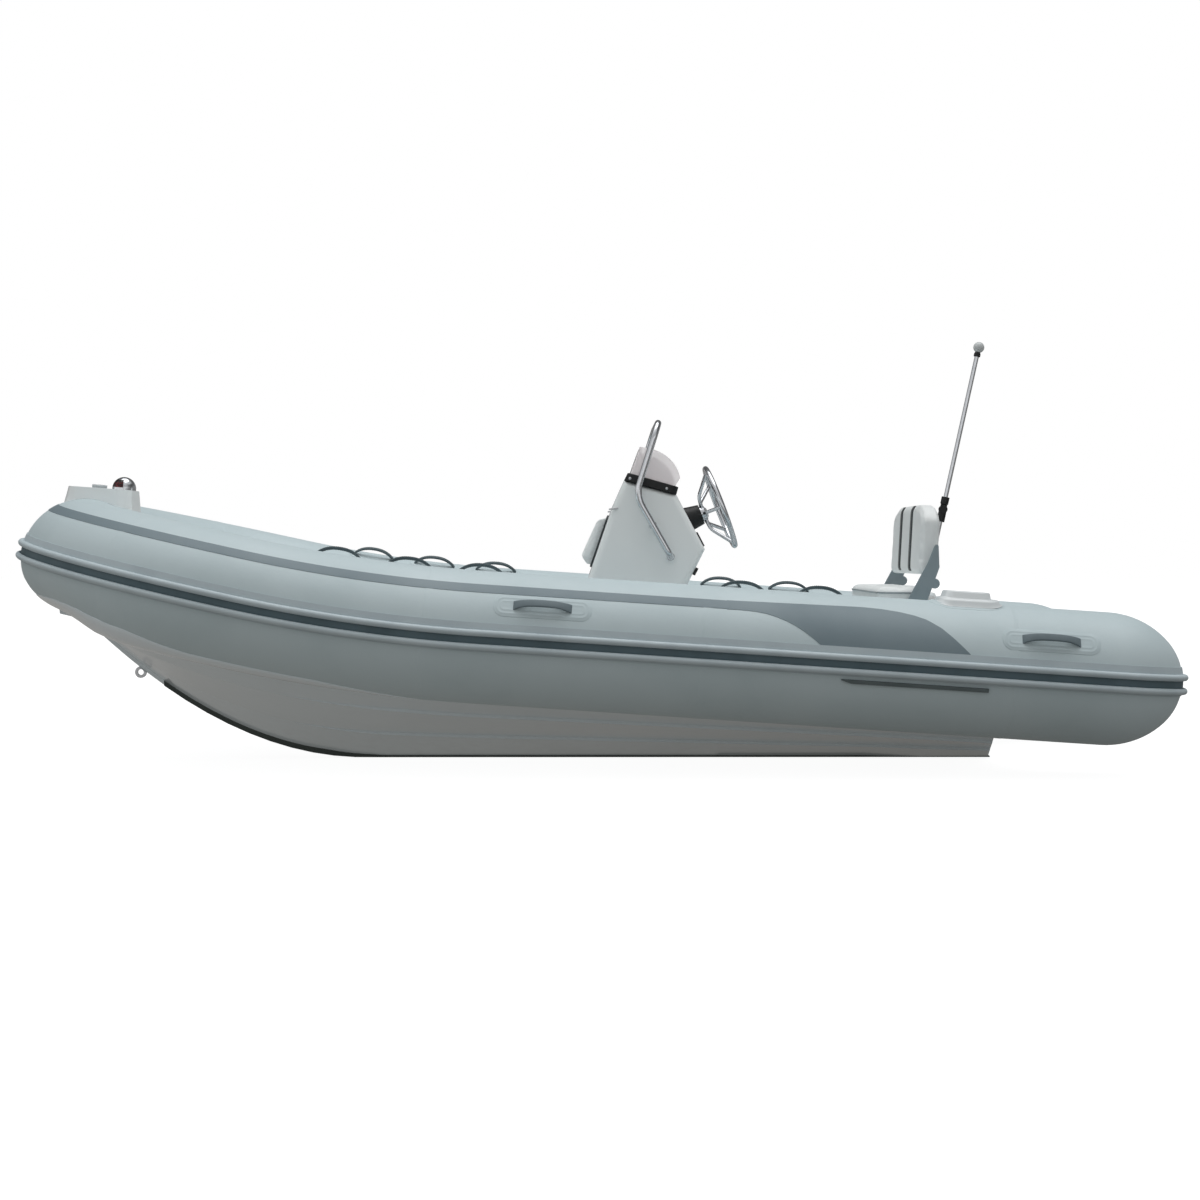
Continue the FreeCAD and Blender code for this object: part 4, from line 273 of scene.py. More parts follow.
def build_leather_grain():
    """Pebbled cells of embossed marine vinyl."""
    tree, given, result = make_group(
        "Leather grain",
        [PLACE, BASE_COLOUR, ("Crease", COLOUR, DARKER), ("Cell Scale", FLOAT, 450.0)],
        [("Colour", COLOUR), ("Height", FLOAT)])
    cells = add_node(tree, "ShaderNodeTexVoronoi", {"feature": "DISTANCE_TO_EDGE"},
                     Vector=given["Place"], Scale=given["Cell Scale"])
    crease = stretch(tree, noise(tree, given["Place"], 9.0, 4.0), 0.4, 0.75, 0.0, 0.45)
    feed(tree, result["Colour"], blend_colours(tree, crease, given["Colour"], given["Crease"]))
    feed(tree, result["Height"], stretch(tree, cells.outputs[0], 0.0, 0.18))
    return tree


def build_fabric_weave():
    """Coated fabric: a fine square weave showing faintly through the coating."""
    tree, given, result = make_group("Coated weave", [PLACE, ("Thread Scale", FLOAT, 160.0)], [("Height", FLOAT)])
    threads = [add_node(tree, "ShaderNodeTexWave", {"bands_direction": direction}, Vector=given["Place"],
                        Scale=given["Thread Scale"]).outputs[1] for direction in ("X", "Y")]
    feed(tree, result["Height"], combine(tree, "ADD", *threads))
    return tree


MOTTLE = build_mottle()
LOW_STREAKS = build_low_streaks()
LEATHER_GRAIN = build_leather_grain()
FABRIC_WEAVE = build_fabric_weave()


def linear(red, green, blue):
    """Shader colour from the 0-255 values that a screen shows."""
    values = [(c / 255 / 12.92) if c <= 10 else ((c / 255 + 0.055) / 1.055) ** 2.4 for c in (red, green, blue)]
    return (*values, 1.0)


class Finish:
    """A material with its own Principled shader, fed by the shared groups. Its colours are 0-255 values."""

    def __init__(self, name, colour, roughness=0.5, **shader):
        self.material = bpy.data.materials.new(name)
        self.material.use_nodes = True
        self.tree = self.material.node_tree
        self.shader = self.tree.nodes["Principled BSDF"]
        self.colour = linear(*colour)
        self.shader.inputs["Roughness"].default_value = roughness
        self.shader.inputs["Base Color"].default_value = self.colour
        for key, value in shader.items():
            self.shader.inputs[key.replace("_", " ")].default_value = value
        self.place = self.tree.nodes.new("ShaderNodeTexCoord").outputs["Object"]
        self.relief = None

    def group(self, group, **inputs):
        node = self.tree.nodes.new("ShaderNodeGroup")
        node.node_tree = group
        for key, value in inputs.items():
            feed(self.tree, node.inputs[key.replace("_", " ")], value)
        return node.outputs

    def paint(self, colour):
        self.colour = colour
        self.tree.links.new(colour, self.shader.inputs["Base Color"])
        return self

    def gloss(self, roughness):
        self.tree.links.new(roughness, self.shader.inputs["Roughness"])
        return self

    def mottle(self, shade, cloud, grain, gloss, bump):
        result = self.group(MOTTLE, Place=self.place, Colour=self.colour, Shade=linear(*shade), Cloud_Scale=cloud,
                            Grain_Scale=grain, Gloss_Low=gloss[0], Gloss_High=gloss[1])
        return self.paint(result["Colour"]).gloss(result["Roughness"]).raise_by(result["Height"], bump)

    def low_streaks(self, low_streaks, top, bottom, amount):
        result = self.group(LOW_STREAKS, Place=self.place, Colour=self.colour, Dirt=linear(*low_streaks), Top=top,
                            Bottom=bottom, Amount=amount)
        return self.paint(result["Colour"])

    def raise_by(self, height, distance):
        """Add a bump on top of the bumps so far."""
        bump = add_node(self.tree, "ShaderNodeBump", None, Strength=1.0, Distance=distance, Height=height)
        if self.relief is not None:
            self.tree.links.new(self.relief, bump.inputs["Normal"])
        self.relief = bump.outputs[0]
        self.tree.links.new(self.relief, self.shader.inputs["Normal"])
        return self


def coated_fabric(name, colour, shade):
    finish = Finish(name, colour, Specular_IOR_Level=0.45).mottle(shade, 2.2, 260.0, (0.42, 0.55), 0.00015)
    uv = finish.tree.nodes.new("ShaderNodeUVMap").outputs[0]
    weave = finish.group(FABRIC_WEAVE, Place=uv, Thread_Scale=170.0)
    return finish.raise_by(weave["Height"], 0.00006).material


def moulded_rubber(name, colour, shade, gloss=(0.5, 0.65), grain=320.0):
    return Finish(name, colour, Specular_IOR_Level=0.4).mottle(shade, 6.0, grain, gloss, 0.00025).material


def gelcoat(name, colour, shade, gloss=(0.16, 0.26), coat=0.5):
    return Finish(name, colour, Coat_Weight=coat, Coat_Roughness=0.06).mottle(shade, 1.6, 28.0, gloss, 0.0003)


tube_skin = coated_fabric("Tube fabric", (194, 209, 213), (186, 202, 206))
accent_skin = coated_fabric("Accent fabric", (120, 136, 143), (110, 127, 135))
patch_skin = moulded_rubber("Patch rubber", (192, 207, 211), (182, 198, 202))
rail_ridge = moulded_rubber("Strake ridge rubber", (188, 201, 206), (176, 190, 196))
rail_valley = moulded_rubber("Strake valley rubber", (92, 112, 120), (82, 101, 108))
rail_flange = moulded_rubber("Strake flange rubber", (184, 197, 202), (176, 189, 195))
grip_rubber = moulded_rubber("Grip rubber", (112, 126, 132), (98, 112, 118))
grab_rubber = moulded_rubber("Grab handle rubber", (78, 92, 97), (66, 80, 85))
strake_rubber = moulded_rubber("Side strake rubber", (98, 109, 111), (88, 99, 101))
keel_rubber = moulded_rubber("Keel guard rubber", (66, 74, 72), (54, 61, 60))
black_plastic = moulded_rubber("Black plastic", (18, 20, 22), (26, 29, 31), (0.40, 0.52), 600.0)
mid_plastic = moulded_rubber("Arm plastic", (142, 155, 161), (130, 143, 150), (0.40, 0.52), 500.0)
globe_opal = moulded_rubber("Globe opal", (222, 226, 226), (206, 212, 213), (0.12, 0.2), 120.0)

# The hull grows darker and warmer towards the keel, in streaks.
hull_gelcoat = gelcoat("Hull gelcoat", (229, 240, 245), (223, 234, 239)).low_streaks(
    (150, 149, 144), 0.02, -0.24, 0.12).material
console_gelcoat = gelcoat("Console gelcoat", (245, 250, 250), (238, 244, 245)).material
step_gelcoat = gelcoat("Step gelcoat", (226, 232, 234), (217, 224, 226), (0.3, 0.4), 0.2).material
grey_gelcoat = gelcoat("Grey gelcoat", (188, 196, 198), (176, 185, 188), (0.24, 0.34), 0.25).material


def nonskid_floor():
    finish = Finish("Nonskid deck", (196, 202, 203), Specular_IOR_Level=0.35)
    finish.mottle((180, 187, 189), 2.6, 90.0, (0.55, 0.7), 0.0003)
    cells = add_node(finish.tree, "ShaderNodeTexVoronoi", {"feature": "F1", "distance": "CHEBYCHEV"},
                     Vector=finish.place, Scale=90.0, Randomness=0.0)
    finish.raise_by(stretch(finish.tree, cells.outputs[0], 0.28, 0.40, 1.0, 0.0), 0.0008)
    return finish.low_streaks((120, 120, 112), 0.155, 0.150, 0.25).material


def bright_metal(name, colour, gloss, drawn):
    """Stainless with faint polishing lines, drawn out along the axes with the small numbers."""
    finish = Finish(name, colour, Metallic=1.0)
    lines = noise(finish.tree, squeezed(finish.tree, finish.place, drawn), 60.0, 4.0)
    finish.gloss(stretch(finish.tree, lines, 0.3, 0.7, *gloss))
    dull = tuple(0.82 * c for c in finish.colour[:3]) + (1.0,)
    finish.paint(blend_colours(finish.tree, stretch(finish.tree, lines, 0.35, 0.75), finish.colour, dull))
    return finish.raise_by(lines, 0.00003).material


def marine_vinyl(name, colour, crease):
    finish = Finish(name, colour, 0.46, Specular_IOR_Level=0.45, Sheen_Weight=0.08)
    result = finish.group(LEATHER_GRAIN, Place=finish.place, Colour=finish.colour, Crease=linear(*crease),
                          Cell_Scale=420.0)
    return finish.paint(result["Colour"]).raise_by(result["Height"], 0.00018).material


def tinted_clear(name, tint, roughness, ior, clear=1.0):
    finish = Finish(name, tint, roughness, Transmission_Weight=clear, IOR=ior)
    haze = noise(finish.tree, finish.place, 14.0, 5.0)
    return finish.gloss(stretch(finish.tree, haze, 0.3, 0.8, roughness, roughness + 0.08)).material


deck_nonskid = nonskid_floor()
stainless = bright_metal("Polished stainless", (218, 221, 225), (0.12, 0.24), (6, 6, 1))
brushed_stainless = bright_metal("Brushed stainless", (196, 199, 202), (0.26, 0.40), (8, 1, 8))
seat_vinyl = marine_vinyl("Seat vinyl", (242, 246, 246), (230, 236, 237))
dark_vinyl = marine_vinyl("Welt and gap shade vinyl", (46, 53, 57), (36, 42, 46))
pale_vinyl = marine_vinyl("Pale piping vinyl", (150, 160, 164), (134, 144, 148))
screen_tint = tinted_clear("Smoked screen", (246, 243, 244), 0.05, 1.20, 0.60)
red_lens = tinted_clear("Red lens", (104, 18, 26), 0.12, 1.49)
green_lens = tinted_clear("Green lens", (14, 120, 62), 0.12, 1.49)


# Meshes

SHARP_ANGLE = 32
BITE = -0.001


def link(name, mesh, body, replaces, materials):
    """A piece in the scene, on its body and in place of the nodes that it replaces."""
    piece = bpy.data.objects.new(name, mesh)
    bpy.context.scene.collection.objects.link(piece)
    for material in materials:
        mesh.materials.append(material)
    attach(piece, body)
    if replaces:
        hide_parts(*replaces)
    return piece


def shade_by_angle(mesh, degrees):
    """Smooth faces with hard edges where the surface turns sharply."""
    for polygon in mesh.polygons:
        polygon.use_smooth = True
    mesh.set_sharp_from_angle(angle=math.radians(degrees))


def mesh_from(name, spots, faces, slots=None, uvs=None, sharp=SHARP_ANGLE, outward=True, weld=1e-6):
    """A mesh with shared points merged, normals outward and smooth shading by angle."""
    mesh = bpy.data.meshes.new(name)
    mesh.from_pydata([tuple(p) for p in spots], [], faces)
    if slots is not None:
        mesh.polygons.foreach_set("material_index", slots)
    if uvs is not None:
        layer = mesh.uv_layers.new(name="UVMap")
        for loop in mesh.loops:
            layer.data[loop.index].uv = uvs[loop.vertex_index]
    shape = bmesh.new()
    shape.from_mesh(mesh)
    bmesh.ops.remove_doubles(shape, verts=shape.verts, dist=weld)
    bmesh.ops.dissolve_degenerate(shape, edges=shape.edges, dist=1e-7)
    if outward:
        bmesh.ops.recalc_face_normals(shape, faces=shape.faces)
    shape.to_mesh(mesh)
    shape.free()
    shade_by_angle(mesh, sharp)
    return mesh


def add_piece(name, shape, body, slot, replaces, *materials, **shaping):
    """A piece from (points, faces). The shaping goes to mesh_from."""
    return link(name, mesh_from(name, *shape, **shaping), body, replaces, materials)


def grid_faces(rows, columns, around=False, start=0):
    """Quads between the rows of a grid of points."""
    wrap = columns if around else columns - 1
    return [(start + r * columns + c, start + r * columns + (c + 1) % columns,
             start + (r + 1) * columns + (c + 1) % columns, start + (r + 1) * columns + c)
            for r in range(rows - 1) for c in range(wrap)]


def ring_cap(row, columns):
    return tuple(row * columns + column for column in range(columns))


def closed_grid(rows, columns):
    """Quads between rings of points, and a face over the first and the last ring."""
    return grid_faces(rows, columns, True) + [ring_cap(0, columns), ring_cap(rows - 1, columns)]


def joined(shapes):
    """Several (points, faces) shapes as one."""
    spots, faces = [], []
    for points, polygons in shapes:
        start = len(spots)
        spots += points
        faces += [tuple(i + start for i in face) for face in polygons]
    return spots, faces


def mirrored_spots(spots):
    return [Vector((p[0], -p[1], p[2])) for p in spots]


def both_sides(spots):
    return ("port", spots), ("starboard", mirrored_spots(spots))


def with_mirror(spots, faces, flipped=False):
    """A port shape and its starboard twin as one."""
    twin = [face[::-1] for face in faces] if flipped else faces
    return joined([(spots, faces), (mirrored_spots(spots), twin)])


def node_mesh(node, name, flatten=None):
    """The node's own mesh under a new name, merged, with normals outward."""
    mesh = frame["nodes"][node].data.copy()
    mesh.name = name
    mesh.materials.clear()
    shape = bmesh.new()
    shape.from_mesh(mesh)
    bmesh.ops.remove_doubles(shape, verts=shape.verts, dist=2e-5)
    if flatten:
        bmesh.ops.dissolve_limit(shape, angle_limit=flatten, verts=shape.verts, edges=shape.edges)
    bmesh.ops.recalc_face_normals(shape, faces=shape.faces)
    shape.to_mesh(mesh)
    shape.free()
    return mesh


def bake_modifiers(piece):
    """Make the piece's modifiers part of its mesh."""
    graph = bpy.context.evaluated_depsgraph_get()
    graph.update()
    baked = bpy.data.meshes.new_from_object(piece.evaluated_get(graph), preserve_all_data_layers=True,
                                            depsgraph=graph)
    piece.modifiers.clear()
    piece.data = baked


def round_edges(piece, width, segments, degrees):
    edge = piece.modifiers.new("Soft edge", "BEVEL")
    edge.width, edge.segments = width, segments
    edge.limit_method = "ANGLE"
    edge.angle_limit = math.radians(degrees)


def soften(piece, width):
    round_edges(piece, width, 3, 35)
    bake_modifiers(piece)
    shade_by_angle(piece.data, 40)


def weigh_faces(piece):
    """Let large faces set the shading, so that flat faces look flat."""
    weighted = piece.modifiers.new("Face weight", "WEIGHTED_NORMAL")
    weighted.keep_sharp = True
    bake_modifiers(piece)


def thicken(piece, thickness, offset):
    wall = piece.modifiers.new("Wall", "SOLIDIFY")
    wall.thickness, wall.offset = thickness, offset
    bake_modifiers(piece)


def finished_copy(node, bevel, slot, material):
    """A node's own shape, merged and smoothed, with softened edges, standing for the node."""
    mesh = node_mesh(node, node + "_shown", math.radians(0.3))
    shade_by_angle(mesh, SHARP_ANGLE)
    piece = link(mesh.name, mesh, frame["nodes"][node]["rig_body"], (node,), [material])
    round_edges(piece, bevel, 2, SHARP_ANGLE)
    weigh_faces(piece)


# Tubes

TUBE_SEGMENTS = 96
DOME_ROWS = 22
SEAM_DISTANCES = (0.42, 1.62, 2.72, TURN_END)
SEAM_HALF_WIDTH = 0.018
SEAM_HEIGHT = 0.0007


def dome_ring(share):
    """Distance aft of the dome's base and ring radius, from the tip (0) to the base (1)."""
    angle = (1 - share) * math.pi / 2
    if angle > DOME_LEAN:
        along = DOME_LENGTH - DOME_TIP_RADIUS + DOME_TIP_RADIUS * math.sin(angle)
        return along, DOME_TIP_RADIUS * math.cos(angle)
    return DOME_SIDE_RADIUS * math.sin(angle), TUBE_RADIUS - DOME_SIDE_RADIUS + DOME_SIDE_RADIUS * math.cos(angle)


def seam_rise(distance):
    """Thickness of the tape over a seam of the tube."""
    nearest = min(abs(distance - seam) for seam in SEAM_DISTANCES)
    return SEAM_HEIGHT if nearest <= SEAM_HALF_WIDTH else 0.0


def tube_rows(distances, domed):
    """Rings of the skin (centre, forward, outboard, radius) and their distances along the tube."""
    rows, marks = [], []
    if domed:
        for step in range(DOME_ROWS):
            along, ring = dome_ring((step + 0.001) / DOME_ROWS)
            rows.append((DOME_BASE - RUN_DIRECTION * along, RUN_DIRECTION, PORT, ring))
            marks.append(-along)
    for distance in distances:
        point, forward, outward = tube_axis(distance)
        rows.append((point, forward, outward, TUBE_RADIUS + seam_rise(distance)))
        marks.append(distance)
    return rows, marks


def nose_lift(x):
    """How far the nose's underside is drawn up."""
    return float(np.interp(x, (1.92, 2.03, 2.12, 2.20, 2.40, 2.475), (0.0, 0.014, 0.040, 0.052, 0.047, 0.025)))


def settled(spot):
    """The nose's underside is drawn up a little to sit on the hull's lip."""
    below = max(0.0, (axis_height(spot.x) - spot.z) / TUBE_RADIUS)
    return spot + Vector((0, 0, nose_lift(spot.x) * below ** 1.3))


def ring_points(rows, marks):
    spots, uvs = [], []
    for (point, forward, outward, ring), mark in zip(rows, marks):
        upward = forward.cross(outward)
        for index in range(TUBE_SEGMENTS):
            angle = 2 * math.pi * index / TUBE_SEGMENTS - math.pi
            spots.append(settled(point + (outward * math.cos(angle) + upward * math.sin(angle)) * ring))
            uvs.append((mark, angle * TUBE_RADIUS))
    return spots, uvs


def spaced_with_seams(start, end, step):
    """Distances along the tube, with close pairs at each side of a seam tape."""
    marks = list(np.linspace(start, end, max(2, round((end - start) / step) + 1)))
    for seam in SEAM_DISTANCES:
        for offset in (-SEAM_HALF_WIDTH - 0.002, -SEAM_HALF_WIDTH, SEAM_HALF_WIDTH, SEAM_HALF_WIDTH + 0.002):
            if start < seam + offset < end:
                marks.append(seam + offset)
    return sorted(set(round(m, 5) for m in marks))


def build_tubes():
    rows, marks = tube_rows(spaced_with_seams(0.0, TURN_END, 0.03), True)
    spots, uvs = ring_points(rows, marks)
    faces = closed_grid(len(rows), TUBE_SEGMENTS)
    for side, points in both_sides(spots):
        add_piece("tube_skin_" + side, (points, faces), "boat", "tube_fabric", ("tube_" + side,), tube_skin,
                  uvs=uvs, sharp=60)
    rows, marks = tube_rows(spaced_with_seams(TURN_END, PATH_END, 0.02), False)
    spots, uvs = ring_points(rows, marks)
    for row in reversed(range(len(rows) - 1)):
        ring = slice(row * TUBE_SEGMENTS, (row + 1) * TUBE_SEGMENTS)
        spots += mirrored_spots(spots[ring])
        uvs += [(2 * PATH_END - marks[row], around) for _, around in uvs[ring]]
    faces = closed_grid(2 * len(rows) - 1, TUBE_SEGMENTS)
    add_piece("tube_skin_bow", (spots, faces), "boat", "tube_fabric", ("tube_bow",), tube_skin, uvs=uvs, sharp=60)


build_tubes()


# Rubbing strake: ridge, valley and flange swept round the tube and its domes

RIDGE_RADIUS = 0.013
RIDGE_OFFSET = 0.0275
STRAKE_STAND = 0.022
FLANGE_TOP = 0.069
FLANGE_BOTTOM = 0.046
FLANGE_THICKNESS = 0.003
RIDGE_FINISH, VALLEY_FINISH, FLANGE_FINISH = 0, 1, 2


def strake_outline():
    """Outboard and up coordinates round the strake's section, with the finish of each stretch."""
    skin = TUBE_RADIUS + SEAT_GAP
    face = skin + FLANGE_THICKNESS
    points, finishes = [], []

    def skin_arc(low, high, reach, steps, finish):
        for step in range(steps):
            height = low + (high - low) * step / (steps - 1)
            points.append((math.sqrt(reach ** 2 - height ** 2), height))
            finishes.append(finish)

    def ridge(centre):
        crest = TUBE_RADIUS + STRAKE_STAND - RIDGE_RADIUS
        for step in range(13):
            angle = math.pi / 2 - math.pi * step / 12
            points.append((crest + RIDGE_RADIUS * math.cos(angle), centre + RIDGE_RADIUS * math.sin(angle)))
            finishes.append(RIDGE_FINISH)

    skin_arc(FLANGE_TOP, RIDGE_OFFSET + RIDGE_RADIUS, face, 4, FLANGE_FINISH)
    ridge(RIDGE_OFFSET)
    skin_arc(RIDGE_OFFSET - RIDGE_RADIUS, -RIDGE_OFFSET + RIDGE_RADIUS, face, 5, VALLEY_FINISH)
    ridge(-RIDGE_OFFSET)
    skin_arc(-RIDGE_OFFSET - RIDGE_RADIUS, -FLANGE_BOTTOM, face, 2, FLANGE_FINISH)
    skin_arc(-FLANGE_BOTTOM, FLANGE_TOP, skin - 0.002, 8, FLANGE_FINISH)
    return points, finishes


def strake_rings(port_only):
    """Frames that carry the section: centre, outboard, up, and how far the section shifts out."""
    rings = []
    if port_only:
        angles = list(np.linspace(math.pi / 2, DOME_LEAN, 22)) + list(np.linspace(DOME_LEAN, 0, 6))[1:-1]
        for angle in angles:
            outward = PORT * math.cos(angle) - RUN_DIRECTION * math.sin(angle)
            if angle >= DOME_LEAN:
                centre, bend = DOME_BASE - RUN_DIRECTION * (DOME_LENGTH - DOME_TIP_RADIUS), DOME_TIP_RADIUS
            else:
                centre, bend = DOME_BASE + PORT * (TUBE_RADIUS - DOME_SIDE_RADIUS), DOME_SIDE_RADIUS
            rings.append((centre, outward, RUN_NORMAL, bend - TUBE_RADIUS))
        distances = np.linspace(0, TURN_END, 130)
    else:
        distances = np.linspace(TURN_END, PATH_END, 36)
    for distance in distances:
        point, forward, outward = tube_axis(distance)
        rings.append((point, outward, forward.cross(outward), 0.0))
    return rings


def build_rubbing_strakes():
    outline, finishes = strake_outline()
    count = len(outline)
    for port_only in (True, False):
        rings = strake_rings(port_only)
        spots = [centre + outward * (out + shift) + upward * up
                 for centre, outward, upward, shift in rings for out, up in outline]
        if not port_only:
            for row in reversed(range(len(rings) - 1)):
                spots += mirrored_spots(spots[row * count:(row + 1) * count])
        total = len(spots) // count
        slots = finishes * (total - 1) + [FLANGE_FINISH] * 2
        for side, points in both_sides(spots) if port_only else (("bow", spots),):
            add_piece("rubbing_strake_" + side, (points, closed_grid(total, count), slots), "boat", "rail_rubber",
                      ("rubrail",), rail_ridge, rail_valley, rail_flange, sharp=40)


build_rubbing_strakes()


# Side strakes

def ring_strip(distances, low, high, inner, outer, steps):
    """A band of skin between two angles, closed all round."""
    angles = np.linspace(low, high, steps)
    outline = [(a, outer) for a in angles] + [(a, inner) for a in reversed(angles)]
    spots = [on_tube(d, a, h) for d in distances for a, h in outline]
    return spots, closed_grid(len(distances), len(outline))


SIDE_STRAKE_AFT, SIDE_STRAKE_FORE = -1.563, -0.985
SIDE_STRAKE_DROP, SIDE_STRAKE_HALF = 0.065, 0.007
SIDE_STRAKE_STAND = 0.0093
SIDE_STRAKE_POINT = 0.040


def build_lower_strakes():
    """Short rubber bars under the rubbing strake, cut to a point at their fore ends."""
    low = -math.asin((SIDE_STRAKE_DROP + SIDE_STRAKE_HALF) / TUBE_RADIUS)
    high = -math.asin((SIDE_STRAKE_DROP - SIDE_STRAKE_HALF) / TUBE_RADIUS)
    distances = np.linspace(distance_at(SIDE_STRAKE_AFT), distance_at(SIDE_STRAKE_FORE), 48)
    spots = []
    for distance in distances:
        point = max(0.0, min(1.0, (distance - distances[-1] + SIDE_STRAKE_POINT) / SIDE_STRAKE_POINT))
        spots += ring_strip([distance], low + (high - low) * 0.8 * point, high, BITE, SIDE_STRAKE_STAND, 5)[0]
    piece = add_piece("side_strakes", with_mirror(spots, closed_grid(len(distances), 10)), "boat", "rail_rubber",
                      ("lower_strakes",), strake_rubber)
    soften(piece, 0.003)


build_lower_strakes()


# Accent stripe, which opens into a swoosh on each quarter

SWOOSH_FRONT = -0.540
SWOOSH_LENGTH = 0.972
SWOOSH_HEIGHT = 0.232
SWOOSH_BOTTOM = 0.20
LEAD_END, TAIL_START = 0.40, 0.55
STRIPE_LOW, STRIPE_HIGH = math.radians(43.5), math.radians(53.5)
ACCENT_STAND, ACCENT_BITE = SEAT_GAP + 0.0012, -0.0005
LEAD_CURVE = ((0.0, 0.79), (0.045, 0.792), (0.09, 0.787), (0.125, 0.775), (0.159, 0.757), (0.20, 0.714),
              (0.24, 0.656), (0.275, 0.586), (0.307, 0.506), (0.332, 0.434), (0.354, 0.362), (0.39, 0.231),
              (0.40, 0.20))
TAIL_CURVE = ((0.55, 0.97), (0.63, 0.958), (0.70, 0.93), (0.76, 0.888), (0.81, 0.83), (0.865, 0.71),
              (0.91, 0.56), (0.955, 0.388), (1.0, 0.20))


def swoosh_bounds(share):
    """Lower and upper edge of the swoosh at a share of its length, as shares of its height."""
    lead_along, lead_up = zip(*LEAD_CURVE)
    tail_along, tail_up = zip(*TAIL_CURVE)
    low = np.interp(share, lead_along, lead_up) if share < LEAD_END else SWOOSH_BOTTOM
    high = 0.935 + 0.035 * share / TAIL_START if share < TAIL_START else np.interp(share, tail_along, tail_up)
    return low, max(high, low + 0.002)


def build_accents():
    distances = np.linspace(distance_at(SWOOSH_FRONT), PATH_END, 150)
    spots, faces = ring_strip(distances, STRIPE_LOW, STRIPE_HIGH, ACCENT_BITE, ACCENT_STAND, 7)
    columns, rows = 90, 13
    outer, inner = len(spots), len(spots) + columns * rows
    for reach in (ACCENT_STAND, ACCENT_BITE):
        for column in range(columns):
            share = column / (columns - 1)
            bottom, top = swoosh_bounds(share)
            for row in range(rows):
                rise = SWOOSH_HEIGHT * (bottom + (top - bottom) * row / (rows - 1))
                x = SWOOSH_FRONT - SWOOSH_LENGTH * share
                along = (x - DOME_BASE.x) / math.cos(STERN_SLOPE) + rise * math.sin(STERN_SLOPE)
                angle = math.asin(min(0.999, rise * math.cos(STERN_SLOPE) / TUBE_RADIUS))
                spots.append(on_tube(along, angle, reach))
    for first in (outer, inner):
        faces += grid_faces(columns, rows, False, first)
    rim = [(column * rows + row, (column + 1) * rows + row) for column in range(columns - 1) for row in (0, rows - 1)]
    rim += [(column * rows + row, column * rows + row + 1) for column in (0, columns - 1) for row in range(rows - 1)]
    faces += [(outer + a, outer + b, inner + b, inner + a) for a, b in rim]
    uvs = [(p[0], p[2]) for p in spots]
    for side, points in both_sides(spots):
        add_piece("accent_skin_" + side, (points, faces), "boat", "accent_fabric", ("accent_stripe",), accent_skin,
                  uvs=uvs, weld=1e-5)


build_accents()


# Handles: a rounded patch with moulded ridges, and an arched grip

PATCH_COLUMNS = 48
PATCH_CORNER = 0.042
GRIP_ROWS, GRIP_COLUMNS = 45, 16


def rounded_loop(half_length, half_width, corner, count):
    """Points round a rounded rectangle, evenly numbered from the middle of one end."""
    corner = min(corner, half_width, half_length)
    points = []
    spans = [(half_length - corner, half_width - corner, 0), (-half_length + corner, half_width - corner, 90),
             (-half_length + corner, -half_width + corner, 180), (half_length - corner, -half_width + corner, 270)]
    per = count // 4
    for centre_a, centre_b, start in spans:
        for step in range(per):
            angle = math.radians(start + 90 * step / (per - 1))
            points.append((centre_a + corner * math.cos(angle), centre_b + corner * math.sin(angle)))
    return points


def patch_points(centre, tilt, half_length, half_width, steps):
    """Rings from the patch's rim inwards, as (inset, height) steps, mapped on to the tube."""
    spots = []
    for inset, height in steps:
        corner = max(0.004, PATCH_CORNER - inset)
        for a, b in rounded_loop(half_length - inset, half_width - inset, corner, PATCH_COLUMNS):
            spots.append(on_tube(centre + a, tilt + b / TUBE_RADIUS, height))
    return spots, grid_faces(len(steps), PATCH_COLUMNS, True) + [ring_cap(len(steps) - 1, PATCH_COLUMNS)]


def grip_points(centre, tilt, half_length, rise, half_width, thickness, base, bow):
    """An arched band with rounded edges whose feet run into the patch."""
    point, forward, outward = tube_axis(centre)
    upward = forward.cross(outward)
    normal = outward * math.cos(tilt) + upward * math.sin(tilt)
    across = normal.cross(forward)
    seat = point + normal * TUBE_RADIUS
    spots = []
    section = [(math.cos(t), math.sin(t)) for t in np.linspace(0, 2 * math.pi, GRIP_COLUMNS, endpoint=False)]
    for index in range(GRIP_ROWS):
        share = -1 + 2 * index / (GRIP_ROWS - 1)
        lift = base + (rise - thickness / 2) * (1 - abs(share) ** bow) ** 0.85 - 0.3 * thickness * abs(share) ** 6
        rib = 0.0006 * math.cos(index * math.pi) if abs(share) < 0.7 else 0.0
        flare = 1 + 0.35 * abs(share) ** 6
        for c, s in section:
            broad = math.copysign(abs(c) ** 0.5, c) * (half_width * flare)
            thick = math.copysign(abs(s) ** 0.6, s) * (thickness / 2 + rib)
            spots.append(seat + forward * (share * half_length) + across * broad + normal * (lift + thick))
    return spots, closed_grid(GRIP_ROWS, GRIP_COLUMNS)


LIFT_STEPS = ((0.0, BITE), (0.0, 0.0010), (0.004, 0.0018), (0.010, 0.0018), (0.012, 0.0025), (0.016, 0.0025),
              (0.018, 0.0018), (0.026, 0.0018), (0.028, 0.0023), (0.031, 0.0023), (0.033, 0.0018), (0.044, 0.0018))
GRAB_STEPS = ((0.0, BITE), (0.0, 0.0018), (0.003, 0.0026), (0.009, 0.0026), (0.011, 0.0034), (0.014, 0.0034),
              (0.016, 0.0026), (0.030, 0.0026))


